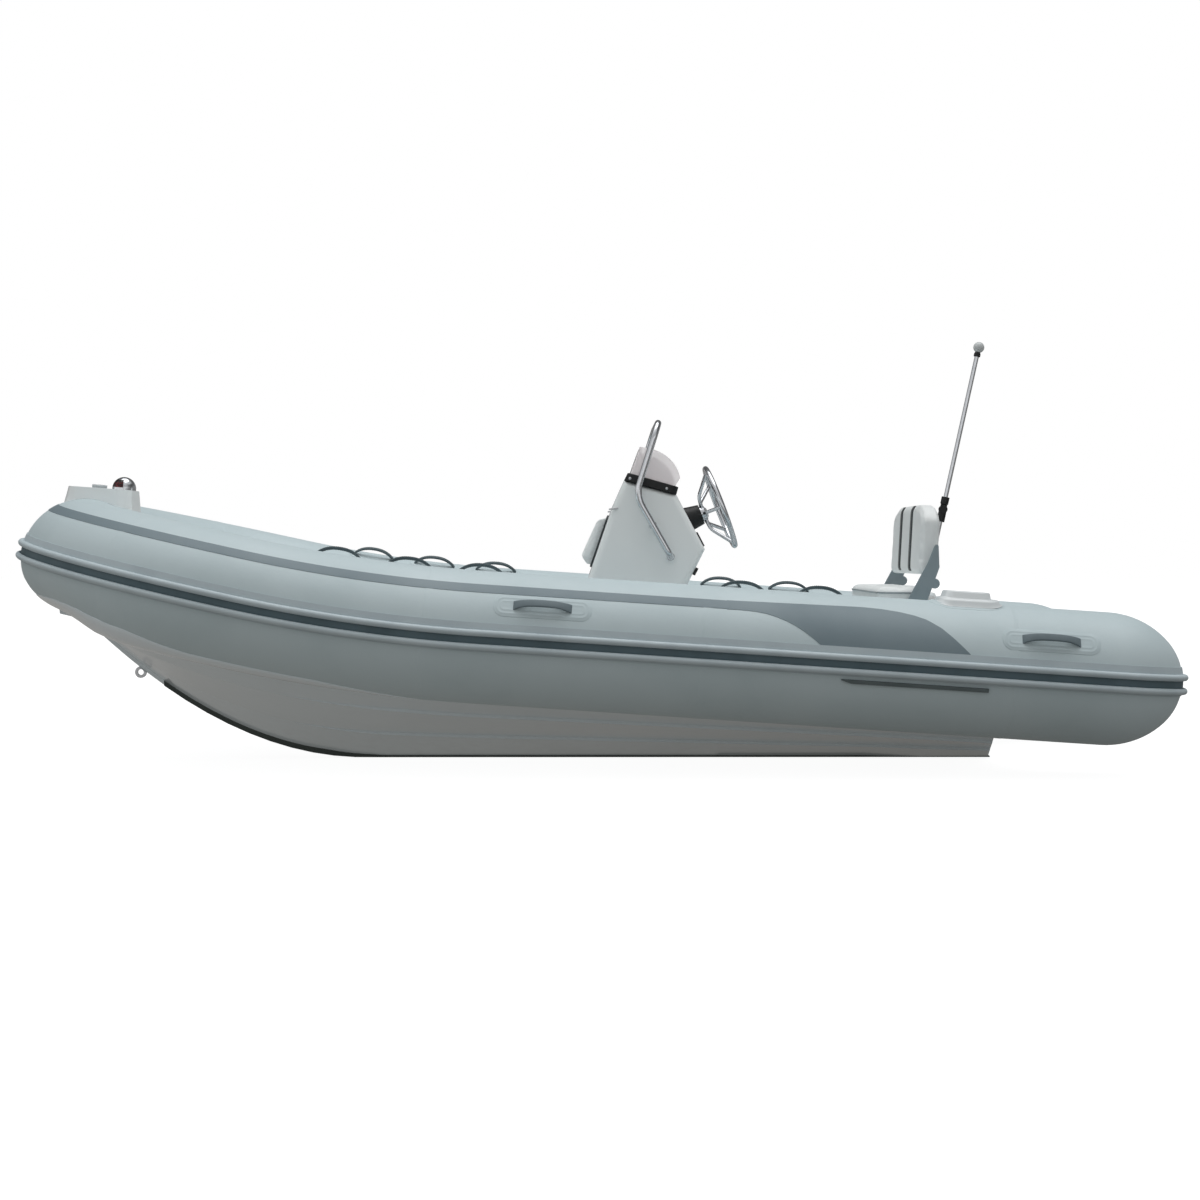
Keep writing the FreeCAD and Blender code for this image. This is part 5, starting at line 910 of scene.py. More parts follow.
def build_handles(kind, places, tilt_degrees, patch, steps, grip, material):
    """All handles of one kind on a side are one piece, with the patch and grip finishes."""
    tilt = math.radians(tilt_degrees)
    shapes, slots = [], []
    for x in places:
        centre = distance_at(x)
        pair = (patch_points(centre, tilt, *patch, steps), grip_points(centre, tilt, *grip))
        shapes += pair
        slots += [index for index, (_, polygons) in enumerate(pair) for _ in polygons]
    spots, faces = joined(shapes)
    for side, points in both_sides(spots):
        add_piece(f"{kind}_grips_{side}", (points, faces, slots), "boat", "handle_rubber", (f"{kind}_handles",),
                  patch_skin, material, sharp=45)


build_handles("lift", (0.195, -1.802), 32, (0.193, 0.049), LIFT_STEPS,
              (0.115, 0.034, 0.0155, 0.010, 0.001, 2.6), grip_rubber)
build_handles("grab", (1.061, 0.763, 0.462, -0.600, -0.920), 110, (0.118, 0.035), GRAB_STEPS,
              (0.096, 0.045, 0.011, 0.011, 0.001, 2.3), grab_rubber)


# Stern steps: a tread block that flows out of a rounded flange on the tube's top

STEP_FORE, STEP_AFT = -1.400, -1.586
STEP_HALF = 0.088
STEP_STAND = 0.046
STEP_FLANGE = ((0.0, BITE), (0.0, 0.0005), (0.008, 0.0028), (0.016, 0.0038), (0.019, 0.0066), (0.023, 0.0066),
               (0.026, 0.0048), (0.040, 0.0050))
# Rings of the tread block: added length and width, shift forward, and share of the full height
STEP_TIERS = ((0.040, 0.014, -0.007, 0.0), (0.031, 0.010, -0.007, 0.06), (0.027, 0.007, -0.007, 0.28),
              (0.023, 0.004, -0.007, 0.38), (0.015, -0.002, -0.006, 0.42), (0.004, -0.009, 0.0, 0.44),
              (0.0, -0.012, 0.0, 0.50), (-0.004, -0.015, 0.0, 0.90), (-0.009, -0.020, 0.0, 1.0),
              (-0.022, -0.032, 0.0, 1.0), (-0.025, -0.035, 0.0, 0.95), (-0.028, -0.038, 0.0, 0.95),
              (-0.031, -0.041, 0.0, 1.0))
STEP_COLUMNS = 96


def build_stern_steps():
    centre = distance_at((STEP_FORE + STEP_AFT) / 2)
    point, forward, outward = tube_axis(centre)
    upward = forward.cross(outward)
    half_length = (STEP_FORE - STEP_AFT) / 2
    reach_long, reach_wide = half_length + 0.060, STEP_HALF + 0.030
    flange, tread = [], []
    for inset, height in STEP_FLANGE:
        for a, b in rounded_loop(reach_long - inset, reach_wide - inset, 0.095 - inset, STEP_COLUMNS):
            flange.append(on_tube(centre + a, math.pi / 2 + b / TUBE_RADIUS, height))
    for longer, wider, shift, share in STEP_TIERS:
        for a, b in rounded_loop(half_length + longer, STEP_HALF + wider, 0.034 + longer * 0.6, STEP_COLUMNS):
            skin = math.sqrt(TUBE_RADIUS ** 2 - b * b) + 0.0045
            height = skin + (TUBE_RADIUS + STEP_STAND - skin) * share
            tread.append(point + forward * (a + shift) + outward * b + upward * height)
    for name, spots, slot, material in (("stern_flanges", flange, "tube_fabric", tube_skin),
                                        ("stern_treads", tread, "grey_moulding", step_gelcoat)):
        rows = len(spots) // STEP_COLUMNS
        faces = grid_faces(rows, STEP_COLUMNS, True) + [ring_cap(rows - 1, STEP_COLUMNS)]
        add_piece(name, with_mirror(spots, faces), "boat", slot, ("stern_steps",), material, sharp=50)


build_stern_steps()


# Hull bottom: vee with two spray strakes a side, raked transom edge and closed top

KEEL_DEPTH = 0.200
STEM_START = 1.000
STEM_TOP = 2.200
STEM_LIP = 2.323
STEM_RISE = 0.591
KEEL_HALF = 0.025
BULKHEAD = 1.250
TRANSOM_FOOT = -1.752
TRANSOM_RAKE = math.tan(math.radians(15))
RAKE_START = -1.40
STERN_SWEEP = 0.205
STEM_HALF = 0.070
LOCKER_AFT, LOCKER_FORE = 1.27, 1.62
DECK_TOP = 0.1295
LOCKER_FLOOR = 0.2680
SPRAY_STRAKES = ((0.31, 0.34), (0.70, 0.74))
SPRAY_WIDTH, SPRAY_HEIGHT = 0.024, 0.012


def keel_height(x):
    """The keel is level to the stem's start, climbs to the stem's top and levels out under the nose."""
    if x > STEM_TOP:
        return float(np.interp(x, (STEM_TOP, 2.260, STEM_LIP), (0.391, 0.415, 0.430)))
    share = max(0.0, (x - STEM_START) / (STEM_TOP - STEM_START))
    return STEM_RISE * share ** 1.95 - KEEL_DEPTH


def guard_height(x):
    """The keel guard is deep under the bow and wears down to a thin edge near the stern."""
    return float(np.interp(x, (-1.45, -1.20, 0.90, 1.15, 2.10, STEM_TOP),
                           (0.006, 0.012, 0.014, 0.029, 0.029, 0.004)))


def hull_station(x):
    """Breadths and heights from the keel out to the tube, then in over the top."""
    keel = keel_height(x) + guard_height(x) - 0.004
    breadth = max(STEM_HALF, axis_half_breadth(min(x, 2.185))) if x < 2.19 else STEM_HALF
    floor = max(axis_height(x) - TUBE_RADIUS + nose_lift(x), keel + 0.004)
    rise = floor - keel
    fade = min(1.0, max(0.02, (1.30 - x) / 0.50))
    width, height = SPRAY_WIDTH * fade, SPRAY_HEIGHT * fade
    rows = [(KEEL_HALF * min(1.0, breadth / TUBE_SPACING + 0.5), keel)]
    for across_share, up_share in SPRAY_STRAKES:
        across, up = breadth * across_share, keel + rise * up_share
        rows += [(across, up), (across + width, up), (across + width, up + height)]
    rows.append((breadth * 0.90, floor + height / 2))
    rows.append((breadth, axis_height(x) - KEEL_HALF))
    if x <= BULKHEAD:
        top = DECK_TOP
    else:
        top = TURN_START.z + (x - TURN_START.x) * math.tan(BOW_SLOPE) - 0.115
        if LOCKER_AFT < x < LOCKER_FORE:
            top = min(top, LOCKER_FLOOR)
    inner = min(breadth, float(np.interp(x, (0.70, BULKHEAD, BULKHEAD + 0.0001), (0.64, 0.48, 0.70))))
    rows += [(inner, min(top, axis_height(x) - KEEL_HALF)), (0.0, top)]
    return rows


def build_hull():
    stations = list(np.linspace(TRANSOM_FOOT, BULKHEAD, 100)) + [BULKHEAD + 0.0002]
    stations += list(np.linspace(LOCKER_AFT, 2.11, 50)) + [2.16, 2.20, 2.23, 2.26, STEM_LIP]
    spots = []
    for x in stations:
        share = min(1.0, max(0.0, (RAKE_START - x) / (RAKE_START - TRANSOM_FOOT)))
        lean = TRANSOM_RAKE * share * share * (3 - 2 * share)
        half = hull_station(x)
        ring = [(y, z) for y, z in half] + [(-y, z) for y, z in reversed(half[:-1])]
        for y, z in ring:
            sweep = STERN_SWEEP * abs(y) * share * share * min(1.0, max(0.0, -z / 0.05))
            spots.append(Vector((x - (z + KEEL_DEPTH) * lean + sweep, y, z)))
    count = 2 * len(half) - 1
    faces = grid_faces(len(stations), count, True)
    for first in (0, (len(stations) - 1) * count):
        for index in range(len(half) - 1):
            faces.append((first + index, first + index + 1, first + count - 2 - index, first + count - 1 - index))
    weigh_faces(add_piece("hull_moulding", (spots, faces), "boat", "hull_shell", ("hull",), hull_gelcoat, sharp=18))


build_hull()


# Hull edge, keel and locker

HULL_EDGE_X = (0.40, 0.80, 1.06, 1.53, 1.62, 1.74, 1.90, 2.10, 2.20)
HULL_EDGE_DEGREES = (-98, -74, -63, -60, -56, -47, -42, -47, -57)
HULL_SKIN = 0.0019


def build_hull_flange():
    """Edge of the hull moulding, which climbs the tube's underside towards the nose."""
    marks = np.linspace(distance_at(HULL_EDGE_X[0]), PATH_END, 130)
    heights = [HULL_SKIN] * 11 + [0.0015, -0.0010]
    spots = []
    for mark in marks:
        edge = float(np.interp(tube_axis(mark)[0].x, HULL_EDGE_X, HULL_EDGE_DEGREES))
        for angle, height in zip([*np.linspace(-108, edge, 12), edge + 0.5], heights):
            spots.append(settled(on_tube(mark, math.radians(angle), height)))
    shape = with_mirror(spots, grid_faces(len(marks), len(heights)), True)
    thicken(add_piece("hull_flange", shape, "boat", "hull_shell", (), hull_gelcoat, sharp=60, outward=False),
            0.002, 0.0)


build_hull_flange()

GUARD_END = 1.867
BAR_SECTION = ((-1.0, 1.0), (-0.80, 0.62), (-0.52, 0.28), (-0.2, 0.04), (0.2, 0.04), (0.52, 0.28), (0.80, 0.62),
               (1.0, 1.0))
GUARD_SECTION = ((-1.0, 1.0), (-1.0, 0.25), (-0.86, 0.06), (-0.62, 0.0), (0.62, 0.0), (0.86, 0.06), (1.0, 0.25),
                 (1.0, 1.0))


def build_keel_bar(name, start, end, stations, section, drop, slot, nodes, material):
    """A bar along the keel whose section narrows towards the stem."""
    spots = []
    for x in np.linspace(start, end, stations):
        taper = min(1.0, max(0.45, (2.40 - x) / 0.6))
        for across, up in section:
            spots.append(Vector((x, across * (KEEL_HALF - SEAT_GAP) * taper,
                                 keel_height(x) + up * guard_height(x) - drop)))
    add_piece(name, (spots, closed_grid(stations, len(section))), "boat", slot, nodes, material, sharp=50)


build_keel_bar("stem_bar", GUARD_END, 2.175, 14, BAR_SECTION, 0.0, "hull_shell", (), hull_gelcoat)
build_keel_bar("keel_guard", TRANSOM_FOOT - 0.004, GUARD_END, 40, GUARD_SECTION, 0.001, "keel_guard",
               ("keel_strip",), keel_rubber)


def build_locker_tray():
    """Lining of the bow locker below its moulding."""
    low, high = Vector((1.2801, -0.2999, 0.2745)), Vector((1.6099, 0.2999, 0.3570))
    corners = [(low.x, low.y), (high.x, low.y), (high.x, high.y), (low.x, high.y)]
    spots = [Vector((x, y, z)) for z in (low.z, high.z) for x, y in corners]
    faces = [(0, 1, 2, 3)] + [(i, (i + 1) % 4, 4 + (i + 1) % 4, 4 + i) for i in range(4)]
    piece = add_piece("locker_tray", (spots, faces), "boat", "grey_moulding", (), grey_gelcoat, outward=False)
    thicken(piece, 0.003, 0.0)
    shape = bmesh.new()
    shape.from_mesh(piece.data)
    bmesh.ops.recalc_face_normals(shape, faces=shape.faces)
    shape.to_mesh(piece.data)
    shape.free()


build_locker_tray()


# Rigid pieces that keep the construction model's own shape, with softened edges

RIGID = (
    ("transom", 0.004, "white_moulding", console_gelcoat),
    ("deck_panel", 0.001, "deck_surface", deck_nonskid),
    ("bow_locker", 0.003, "white_moulding", console_gelcoat),
    ("bow_locker_lid", 0.007, "white_moulding", console_gelcoat),
    ("bow_eye", 0.0015, "stainless", stainless),
    ("tow_eyes", 0.0012, "stainless", stainless),
    ("motor_pad", 0.002, "black_plastic", black_plastic),
    ("bow_step", 0.004, "white_moulding", console_gelcoat),
    ("nav_light_housing", 0.0008, "stainless", stainless),
    ("nav_lens_red", 0.0006, "red_lens", red_lens),
    ("nav_lens_green", 0.0006, "green_lens", green_lens),
    ("bow_cleat", 0.0006, "stainless", stainless),
    ("console_shell", 0.004, "white_moulding", console_gelcoat),
    ("console_door", 0.004, "white_moulding", console_gelcoat),
    ("screen_base", 0.003, "black_plastic", black_plastic),
    ("windscreen", 0.0008, "smoked_glass", screen_tint),
    ("helm_bezel", 0.0015, "black_plastic", black_plastic),
    ("front_seat_box", 0.008, "white_moulding", console_gelcoat),
    ("front_seat_lid", 0.004, "white_moulding", console_gelcoat),
    ("seat_box", 0.010, "white_moulding", console_gelcoat),
    ("seat_door", 0.005, "white_moulding", console_gelcoat),
    ("pivot_studs", 0.001, "stainless", brushed_stainless),
    ("backrest_arms", 0.002, "arm_grey", mid_plastic),
)
for entry in RIGID:
    finished_copy(*entry)


# Bent and turned metal

def bent_line(points, bends, steps):
    """Centreline through corner points with a tangent arc at each inner corner."""
    line = [points[0]]
    for index in range(1, len(points) - 1):
        before, corner, after = points[index - 1], points[index], points[index + 1]
        into, away = (corner - before).normalized(), (after - corner).normalized()
        turn = into.angle(away)
        bend = bends[index - 1]
        reach = bend * math.tan(turn / 2)
        start = corner - into * reach
        axis = into.cross(away).normalized()
        centre = start + axis.cross(into) * bend
        arm = start - centre
        for step in range(steps + 1):
            angle = turn * step / steps
            line.append(centre + arm * math.cos(angle) + axis.cross(arm) * math.sin(angle))
    line.append(points[-1])
    return line


def circle(segments):
    """Angles evenly round a circle."""
    return [2 * math.pi * step / segments for step in range(segments)]


def pipe_points(line, radius, segments):
    """Rings round a centreline, carried along without twist, with closed ends."""
    spots = []
    forward = (line[1] - line[0]).normalized()
    side = forward.orthogonal().normalized()
    for index, point in enumerate(line):
        behind, ahead = line[max(index - 1, 0)], line[min(index + 1, len(line) - 1)]
        direction = (ahead - behind).normalized()
        side = (side - direction * side.dot(direction)).normalized()
        other = direction.cross(side)
        spots += [point + (side * math.cos(a) + other * math.sin(a)) * radius for a in circle(segments)]
    return spots, closed_grid(len(line), segments)


def turned_points(profile, origin, axis, segments=48):
    """A profile of (radius, height) turned about an axis through a point."""
    side = axis.orthogonal().normalized()
    other = axis.cross(side)
    spots = [origin + axis * height + (side * math.cos(a) + other * math.sin(a)) * reach
             for reach, height in profile for a in circle(segments)]
    return spots, closed_grid(len(profile), segments)


def disc_profile(radius, thickness, edge=0.0015):
    return [(radius, 0), (radius, thickness - edge), (radius - edge, thickness), (0.0001, thickness)]


def build_console_rail():
    """One hoop of pipe over the console, which stands off its sides on discs."""
    half, wall, bar = 0.342, 0.3003, 0.014
    path = [(-0.343, 0.680), (-0.195, 0.940), (-0.290, 1.249)]
    port = [Vector((-0.343, wall, 0.680))] + [Vector((x, half, z)) for x, z in path]
    foot = (half - wall) * 0.7
    line = bent_line(port + mirrored_spots(reversed(port)), [foot, 0.130, 0.075, 0.075, 0.130, foot], 12)
    shapes = [pipe_points(line, bar, 32)]
    for side in (1, -1):
        outward = Vector((0, side, 0))
        for x, z in ((-0.343, 0.680), (-0.266, 0.815)):
            seat = Vector((x, side * wall, z))
            shapes.append(turned_points(disc_profile(0.017, 0.006, 0.002), seat, outward))
        shapes.append(turned_points(disc_profile(bar * 0.7, half - wall), seat, outward, 24))
    add_piece("console_grab_rail", joined(shapes), "boat", "stainless", ("console_rail",), stainless, sharp=40)


build_console_rail()


# Small trim

BLOCK_FACES = [(0, 1, 3, 2), (4, 6, 7, 5), (0, 4, 5, 1), (2, 3, 7, 6), (0, 2, 6, 4), (1, 5, 7, 3)]


def block(name, centre, along, across, half, edge, material, slot="black_plastic"):
    """A small box with softened edges, turned to two directions."""
    up = along.cross(across).normalized()
    spots = [centre + along * (a * half[0]) + across * (b * half[1]) + up * (c * half[2])
             for a in (-1, 1) for b in (-1, 1) for c in (-1, 1)]
    soften(add_piece(name, (spots, BLOCK_FACES), "boat", slot, (), material), edge)


PAD_RISE, PAD_OUT = Vector((-0.3228, 0, 0.9465)), Vector((0.9465, 0, 0.3228))
PAD_MIDDLE = Vector((0.157 - 0.3410 * (0.745 - 0.155), 0, 0.745))
DASH_RISE, DASH_OUT = Vector((0.4654, 0, 0.8851)), Vector((-0.8851, 0, 0.4654))
DASH_FOOT = Vector((-0.490, 0, 0.712))
SCREW_PROFILE = [(0.0062, 0), (0.0058, 0.0014), (0.0040, 0.0026), (0.0001, 0.0030)]


def build_console_trim():
    """Dark cord behind the front pad as painted shade in its gap, switch panels on the dash, catches and screw heads.
    """
    # Painted shade: a dark cord where the front pad meets the console stands for the shade in that gap.
    middle = PAD_MIDDLE + PAD_OUT * 0.004
    loop = [middle + PAD_RISE * a + PORT * b for a, b in rounded_loop(0.113, 0.252, 0.030, 120)]
    add_piece("pad_gap_shade", pipe_points(loop + loop[:2], 0.0045, 10), "boat", "black_plastic", (), dark_vinyl,
              sharp=60, weld=1e-7)
    for side, name in ((1, "port"), (-1, "starboard")):
        foot = DASH_FOOT + PORT * (0.205 * side)
        block("switch_panel_" + name, foot + DASH_RISE * 0.046 + DASH_OUT * 0.003, DASH_RISE, PORT,
              (0.034, 0.052, 0.0042), 0.003, black_plastic)
        block("door_catch_" + name, Vector((-0.450, 0.272 * side, 0.617)), Vector((-0.463, 0, 0.886)), PORT,
              (0.017, 0.009, 0.006), 0.002, black_plastic)
        block("side_catch_" + name, Vector((-0.100, 0.3012 * side, 0.884)), Vector((1, 0, -0.12)).normalized(),
              Vector((0, 0, 1)), (0.020, 0.0035, 0.003), 0.001, brushed_stainless)
    shapes = [turned_points(SCREW_PROFILE, Vector((x, side * 0.3035, z)), Vector((0, side, 0)), 20)
              for side in (1, -1) for x, z in ((-0.170, 1.0125), (-0.326, 0.970))]
    add_piece("screen_screws", joined(shapes), "boat", "stainless", (), brushed_stainless, sharp=50)


build_console_trim()


def build_cleat_body():
    """Low moulded body under the horns of the bow cleat."""
    low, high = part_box("bow_cleat")
    middle, half = (low + high) / 2, (high - low) / 2
    along = Vector((math.cos(BOW_SLOPE * 0.35), 0, math.sin(BOW_SLOPE * 0.35)))
    block("cleat_body", middle + Vector((0, 0, -0.001)), along, PORT, (half.x * 0.96, 0.011, half.z * 0.80), 0.006,
          grey_gelcoat, "grey_moulding")


build_cleat_body()


# Steering wheel

HELM_TILT = math.radians(21)
HELM_AXIS = Vector((-math.cos(HELM_TILT), 0, math.sin(HELM_TILT)))
HELM_UP = HELM_AXIS.cross(PORT)
DASH_SHARE = (0.840 - 0.712) / (0.944 - 0.712)
HELM_SEAT = Vector((-0.490 + (-0.368 + 0.490) * DASH_SHARE, 0, 0.840))
RIM_HEIGHT, RIM_REACH, RIM_RADIUS = 0.088, 0.180, 0.012
RIM_ROWS, RIM_COLUMNS = 120, 20
HUB_PROFILE = [(0.034, 0.0004), (0.034, 0.018), (0.030, 0.022), (0.024, 0.0225), (0.022, 0.026), (0.016, 0.029),
               (0.0001, 0.030)]


def build_wheel():
    """Dished wheel: round rim, hub with a cap, and five spokes that sweep out to the rim."""
    centre = HELM_SEAT + HELM_AXIS * 0.0704
    rim = []
    for around in circle(RIM_ROWS):
        direction = PORT * math.cos(around) + HELM_UP * math.sin(around)
        rim += [centre + HELM_AXIS * (RIM_HEIGHT + RIM_RADIUS * math.sin(a))
                + direction * (RIM_REACH + RIM_RADIUS * math.cos(a)) for a in circle(RIM_COLUMNS)]
    last = (RIM_ROWS - 1) * RIM_COLUMNS
    faces = grid_faces(RIM_ROWS, RIM_COLUMNS, True)
    faces += [(last + m, last + (m + 1) % RIM_COLUMNS, (m + 1) % RIM_COLUMNS, m) for m in range(RIM_COLUMNS)]
    shapes = [(rim, faces), turned_points(HUB_PROFILE, centre, HELM_AXIS)]
    for index in range(5):
        around = math.radians(90 + index * 72)
        direction = HELM_UP * -math.cos(around) + PORT * math.sin(around)
        line = bent_line([centre + direction * 0.017 + HELM_AXIS * 0.011,
                          centre + direction * 0.078 + HELM_AXIS * 0.0145,
                          centre + direction * RIM_REACH + HELM_AXIS * RIM_HEIGHT], [0.068], 8)
        shapes.append(pipe_points(line, 0.008, 16))
    add_piece("steering_wheel_shown", joined(shapes), "wheel", "stainless", ("steering_wheel",), stainless, sharp=40)


build_wheel()


# Light mast

MAST_LEAN = math.radians(12.3)
MAST_FOOT = Vector((-1.466, 0, 0.500))
MAST_AXIS = Vector((-math.sin(MAST_LEAN), 0, math.cos(MAST_LEAN)))
MAST_TUBE_RADIUS = 0.0095
GLOBE_RADIUS = 0.024
FORK_LOW, FORK_HIGH, MAST_TOP = 0.834, 0.941, 1.556


def mast_length(z):
    """Length along the mast at which its axis reaches z."""
    return (z - MAST_FOOT.z) / math.cos(MAST_LEAN)


def mast_round(profile, segments=32):
    return turned_points(profile, MAST_FOOT, MAST_AXIS, segments)


def node_parts(node, start, end):
    """The node's own faces, as points and polygons, that lie wholly between two lengths of the mast."""
    source = frame["nodes"][node].data
    lengths = [(v.co - MAST_FOOT).dot(MAST_AXIS) for v in source.vertices]
    faces = [tuple(p.vertices) for p in source.polygons if all(start < lengths[i] < end for i in p.vertices)]
    return [v.co.copy() for v in source.vertices], faces


def build_mast():
    low, high, top = mast_length(FORK_LOW), mast_length(FORK_HIGH), mast_length(MAST_TOP)
    socket = [(0.0001, 0.0), (0.0225, 0.0), (0.0225, 0.003), (0.0155, 0.006), (0.0145, 0.040), (0.0125, 0.042),
              (MAST_TUBE_RADIUS, 0.042), (MAST_TUBE_RADIUS, low), (0.0001, low)]
    upper = [(0.0001, high), (MAST_TUBE_RADIUS, high), (MAST_TUBE_RADIUS, top), (0.0001, top)]
    collar = [(0.0001, top), (0.0128, top), (0.0145, top + 0.002), (0.0145, top + 0.012), (0.0120, top + 0.019),
              (0.0001, top + 0.020)]
    centre = top + 0.020 + GLOBE_RADIUS * 0.9
    globe = [(max(0.0001, GLOBE_RADIUS * math.sin(a)), centre - GLOBE_RADIUS * math.cos(a))
             for a in np.linspace(0, math.pi, 25)]
    for name, shape, body, slot, node, material, sharp in (
            ("mast_foot_tube", mast_round(socket), "boat", "stainless", "mast_lower", stainless, 40),
            ("mast_head_tube", mast_round(upper), "mast_head", "stainless", "mast_upper", stainless, 40),
            ("mast_collar", mast_round(collar), "mast_head", "black_plastic", "mast_upper", black_plastic, 40),
            ("mast_fork", node_parts("mast_lower", low - 0.001, high + 0.001), "boat", "black_plastic", "mast_lower",
             black_plastic, 40),
            ("mast_tongue", node_parts("mast_upper", low - 0.001, high + 0.001), "mast_head", "black_plastic",
             "mast_upper", black_plastic, 40),
            ("anchor_light_globe", mast_round(globe, 40), "mast_head", "globe_white", "mast_globe", globe_opal, 60)):
        add_piece(name, shape, body, slot, (node,), material, sharp=sharp)


build_mast()


# Cushions: swelled by cloth pressure from a smaller shape, then piped

CUSHION_INSET = 0.004
CUSHION_VOXEL = 0.006
CLOTH_PRESSURE = 4.0
CLOTH_FRAMES = 20


def swell(piece, cap):
    """Shrink the shape, remesh it and let pressure push its faces out, up to a cap."""
    mesh = piece.data
    normals = [v.normal.copy() for v in mesh.vertices]
    for vertex, normal in zip(mesh.vertices, normals):
        vertex.co -= normal * CUSHION_INSET
    remesh = piece.modifiers.new("Remesh", "REMESH")
    remesh.mode, remesh.voxel_size = "VOXEL", CUSHION_VOXEL
    remesh.use_smooth_shade = True
    bake_modifiers(piece)
    rest = np.array([v.co for v in piece.data.vertices], float)
    cloth = piece.modifiers.new("Cloth", "CLOTH")
    settings = cloth.settings
    settings.use_pressure = True
    settings.uniform_pressure_force = CLOTH_PRESSURE
    settings.effector_weights.gravity = 0
    settings.quality = 5
    settings.mass = 0.3
    settings.tension_stiffness = settings.compression_stiffness = 15
    settings.bending_stiffness = 0.5
    cloth.point_cache.frame_start, cloth.point_cache.frame_end = 1, CLOTH_FRAMES
    for step in range(1, CLOTH_FRAMES + 1):
        bpy.context.scene.frame_set(step)
    bake_modifiers(piece)
    bpy.context.scene.frame_set(1)
    moved = np.array([v.co for v in piece.data.vertices], float) - rest
    length = np.linalg.norm(moved, axis=1, keepdims=True)
    moved *= np.minimum(1.0, cap / np.maximum(length, 1e-9))
    piece.data.vertices.foreach_set("co", (rest + moved).astype(np.float32).ravel())
    smooth = piece.modifiers.new("Smooth", "SUBSURF")
    smooth.levels = smooth.render_levels = 1
    bake_modifiers(piece)
    shade_by_angle(piece.data, 180)


def cushion(node, name, cap):
    """A padded cover over the node's own shape, swelled out by no more than the cap."""
    piece = bpy.data.objects.new(name, node_mesh(node, name))
    bpy.context.scene.collection.objects.link(piece)
    swell(piece, cap)
    piece.data.materials.clear()
    piece.data.materials.append(seat_vinyl)
    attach(piece, frame["nodes"][node]["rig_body"])
    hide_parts(node)
    return piece


def surface_tree(piece):
    return BVHTree.FromObject(piece, bpy.context.evaluated_depsgraph_get())


PIPING_RADIUS = 0.0032


def piping(name, piece, lines):
    """Sewn cords that lie on a cushion along closed lines."""
    tree = surface_tree(piece)
    shapes = []
    for line in lines:
        placed = []
        for spot in line:
            place, normal, _, _ = tree.find_nearest(spot)
            placed.append(place + normal * (PIPING_RADIUS * 0.25))
        shapes.append(pipe_points(placed + placed[:2], PIPING_RADIUS, 10))
    add_piece(name, joined(shapes), piece["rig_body"], "seat_vinyl", (), pale_vinyl, sharp=60, weld=1e-7)


def level_loop(low, high, z):
    """A rounded rectangle at one height."""
    middle, half = (low + high) / 2, (high - low) / 2
    return [Vector((middle.x + a, middle.y + b, z)) for a, b in rounded_loop(half.x, half.y, 0.03, 200)]


front_cushion = cushion("front_seat_cushion", "front_cushion_cover", 0.010)
stern_cushion = cushion("seat_cushion", "stern_cushion_cover", 0.007)
back_cushion = cushion("backrest_cushion", "backrest_cover", 0.010)
cushion("front_pad", "front_pad_cover", 0.008)

for cover, node, name in ((front_cushion, "front_seat_cushion", "front_cushion_piping"),
                          (stern_cushion, "seat_cushion", "stern_cushion_piping")):
    low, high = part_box(node)
    piping(name, cover, [level_loop(low, high, high.z - 0.020), level_loop(low, high, low.z + 0.014)])


WELT_OFFSETS = (-0.032, -0.028, 0.0, 0.028, 0.032)
WELT_EDGE = 0.030
WELT_PLACES = (-0.150, 0.150)


def backrest_stripes():
    """Two dark welts that divide the backrest's face into three panels."""
    tree = surface_tree(back_cushion)
    shapes = []
    low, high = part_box("backrest_cushion")
    for y in WELT_PLACES:
        rows = []
        for z in np.linspace(low.z + 0.030, high.z - 0.004, 60):
            across = []
            for offset in WELT_OFFSETS:
                place, normal, _, _ = tree.ray_cast(Vector((-1.30, y + offset, z)), Vector((-1, 0, 0)))
                if place is None:
                    break
                across.append(place + normal * (0.0026 if abs(offset) < WELT_EDGE else -0.002))
            if len(across) == len(WELT_OFFSETS):
                rows.append(across)
        shapes.append(([spot for row in rows for spot in row], grid_faces(len(rows), len(WELT_OFFSETS))))
    piece = add_piece("backrest_welts", joined(shapes), "backrest", "seat_vinyl", (), dark_vinyl,
                      sharp=60, outward=False)
    for polygon in piece.data.polygons:
        if polygon.normal.x < 0:
            polygon.flip()
    thicken(piece, 0.002, -1.0)


backrest_stripes()


# Floor, backdrop and light

FLOOR_HALF = 60.0
FLOOR_HEIGHT = -KEEL_DEPTH - 0.0015
WHITE = (1, 1, 1, 1)
SHOWN_GLOW, SHOWN_GREY = 0.93, (0.24, 0.24, 0.24, 1)
UNDER_GLOW, UNDER_TINT, UNDER_GREY = (0.125, 0.215), (1.0, 0.955, 0.895, 1), (0.10, 0.10, 0.10, 1)
UNDER_REACH = 2.4


def ray_kinds(tree):
    """1 for what the camera sees, straight or through a clear piece, else 0; and the same for reflections."""
    rays = tree.nodes.new("ShaderNodeLightPath").outputs
    return combine(tree, "MAXIMUM", rays["Is Camera Ray"], rays["Is Transmission Ray"]), rays["Is Glossy Ray"]


def lit_shader(tree, colour, glow, strength):
    """A matt surface that also gives light."""
    light = add_node(tree, "ShaderNodeEmission", None, Color=glow, Strength=strength).outputs[0]
    matt = add_node(tree, "ShaderNodeBsdfDiffuse", None, Color=colour).outputs[0]
    return add_node(tree, "ShaderNodeAddShader", None, i0=light, i1=matt).outputs[0]


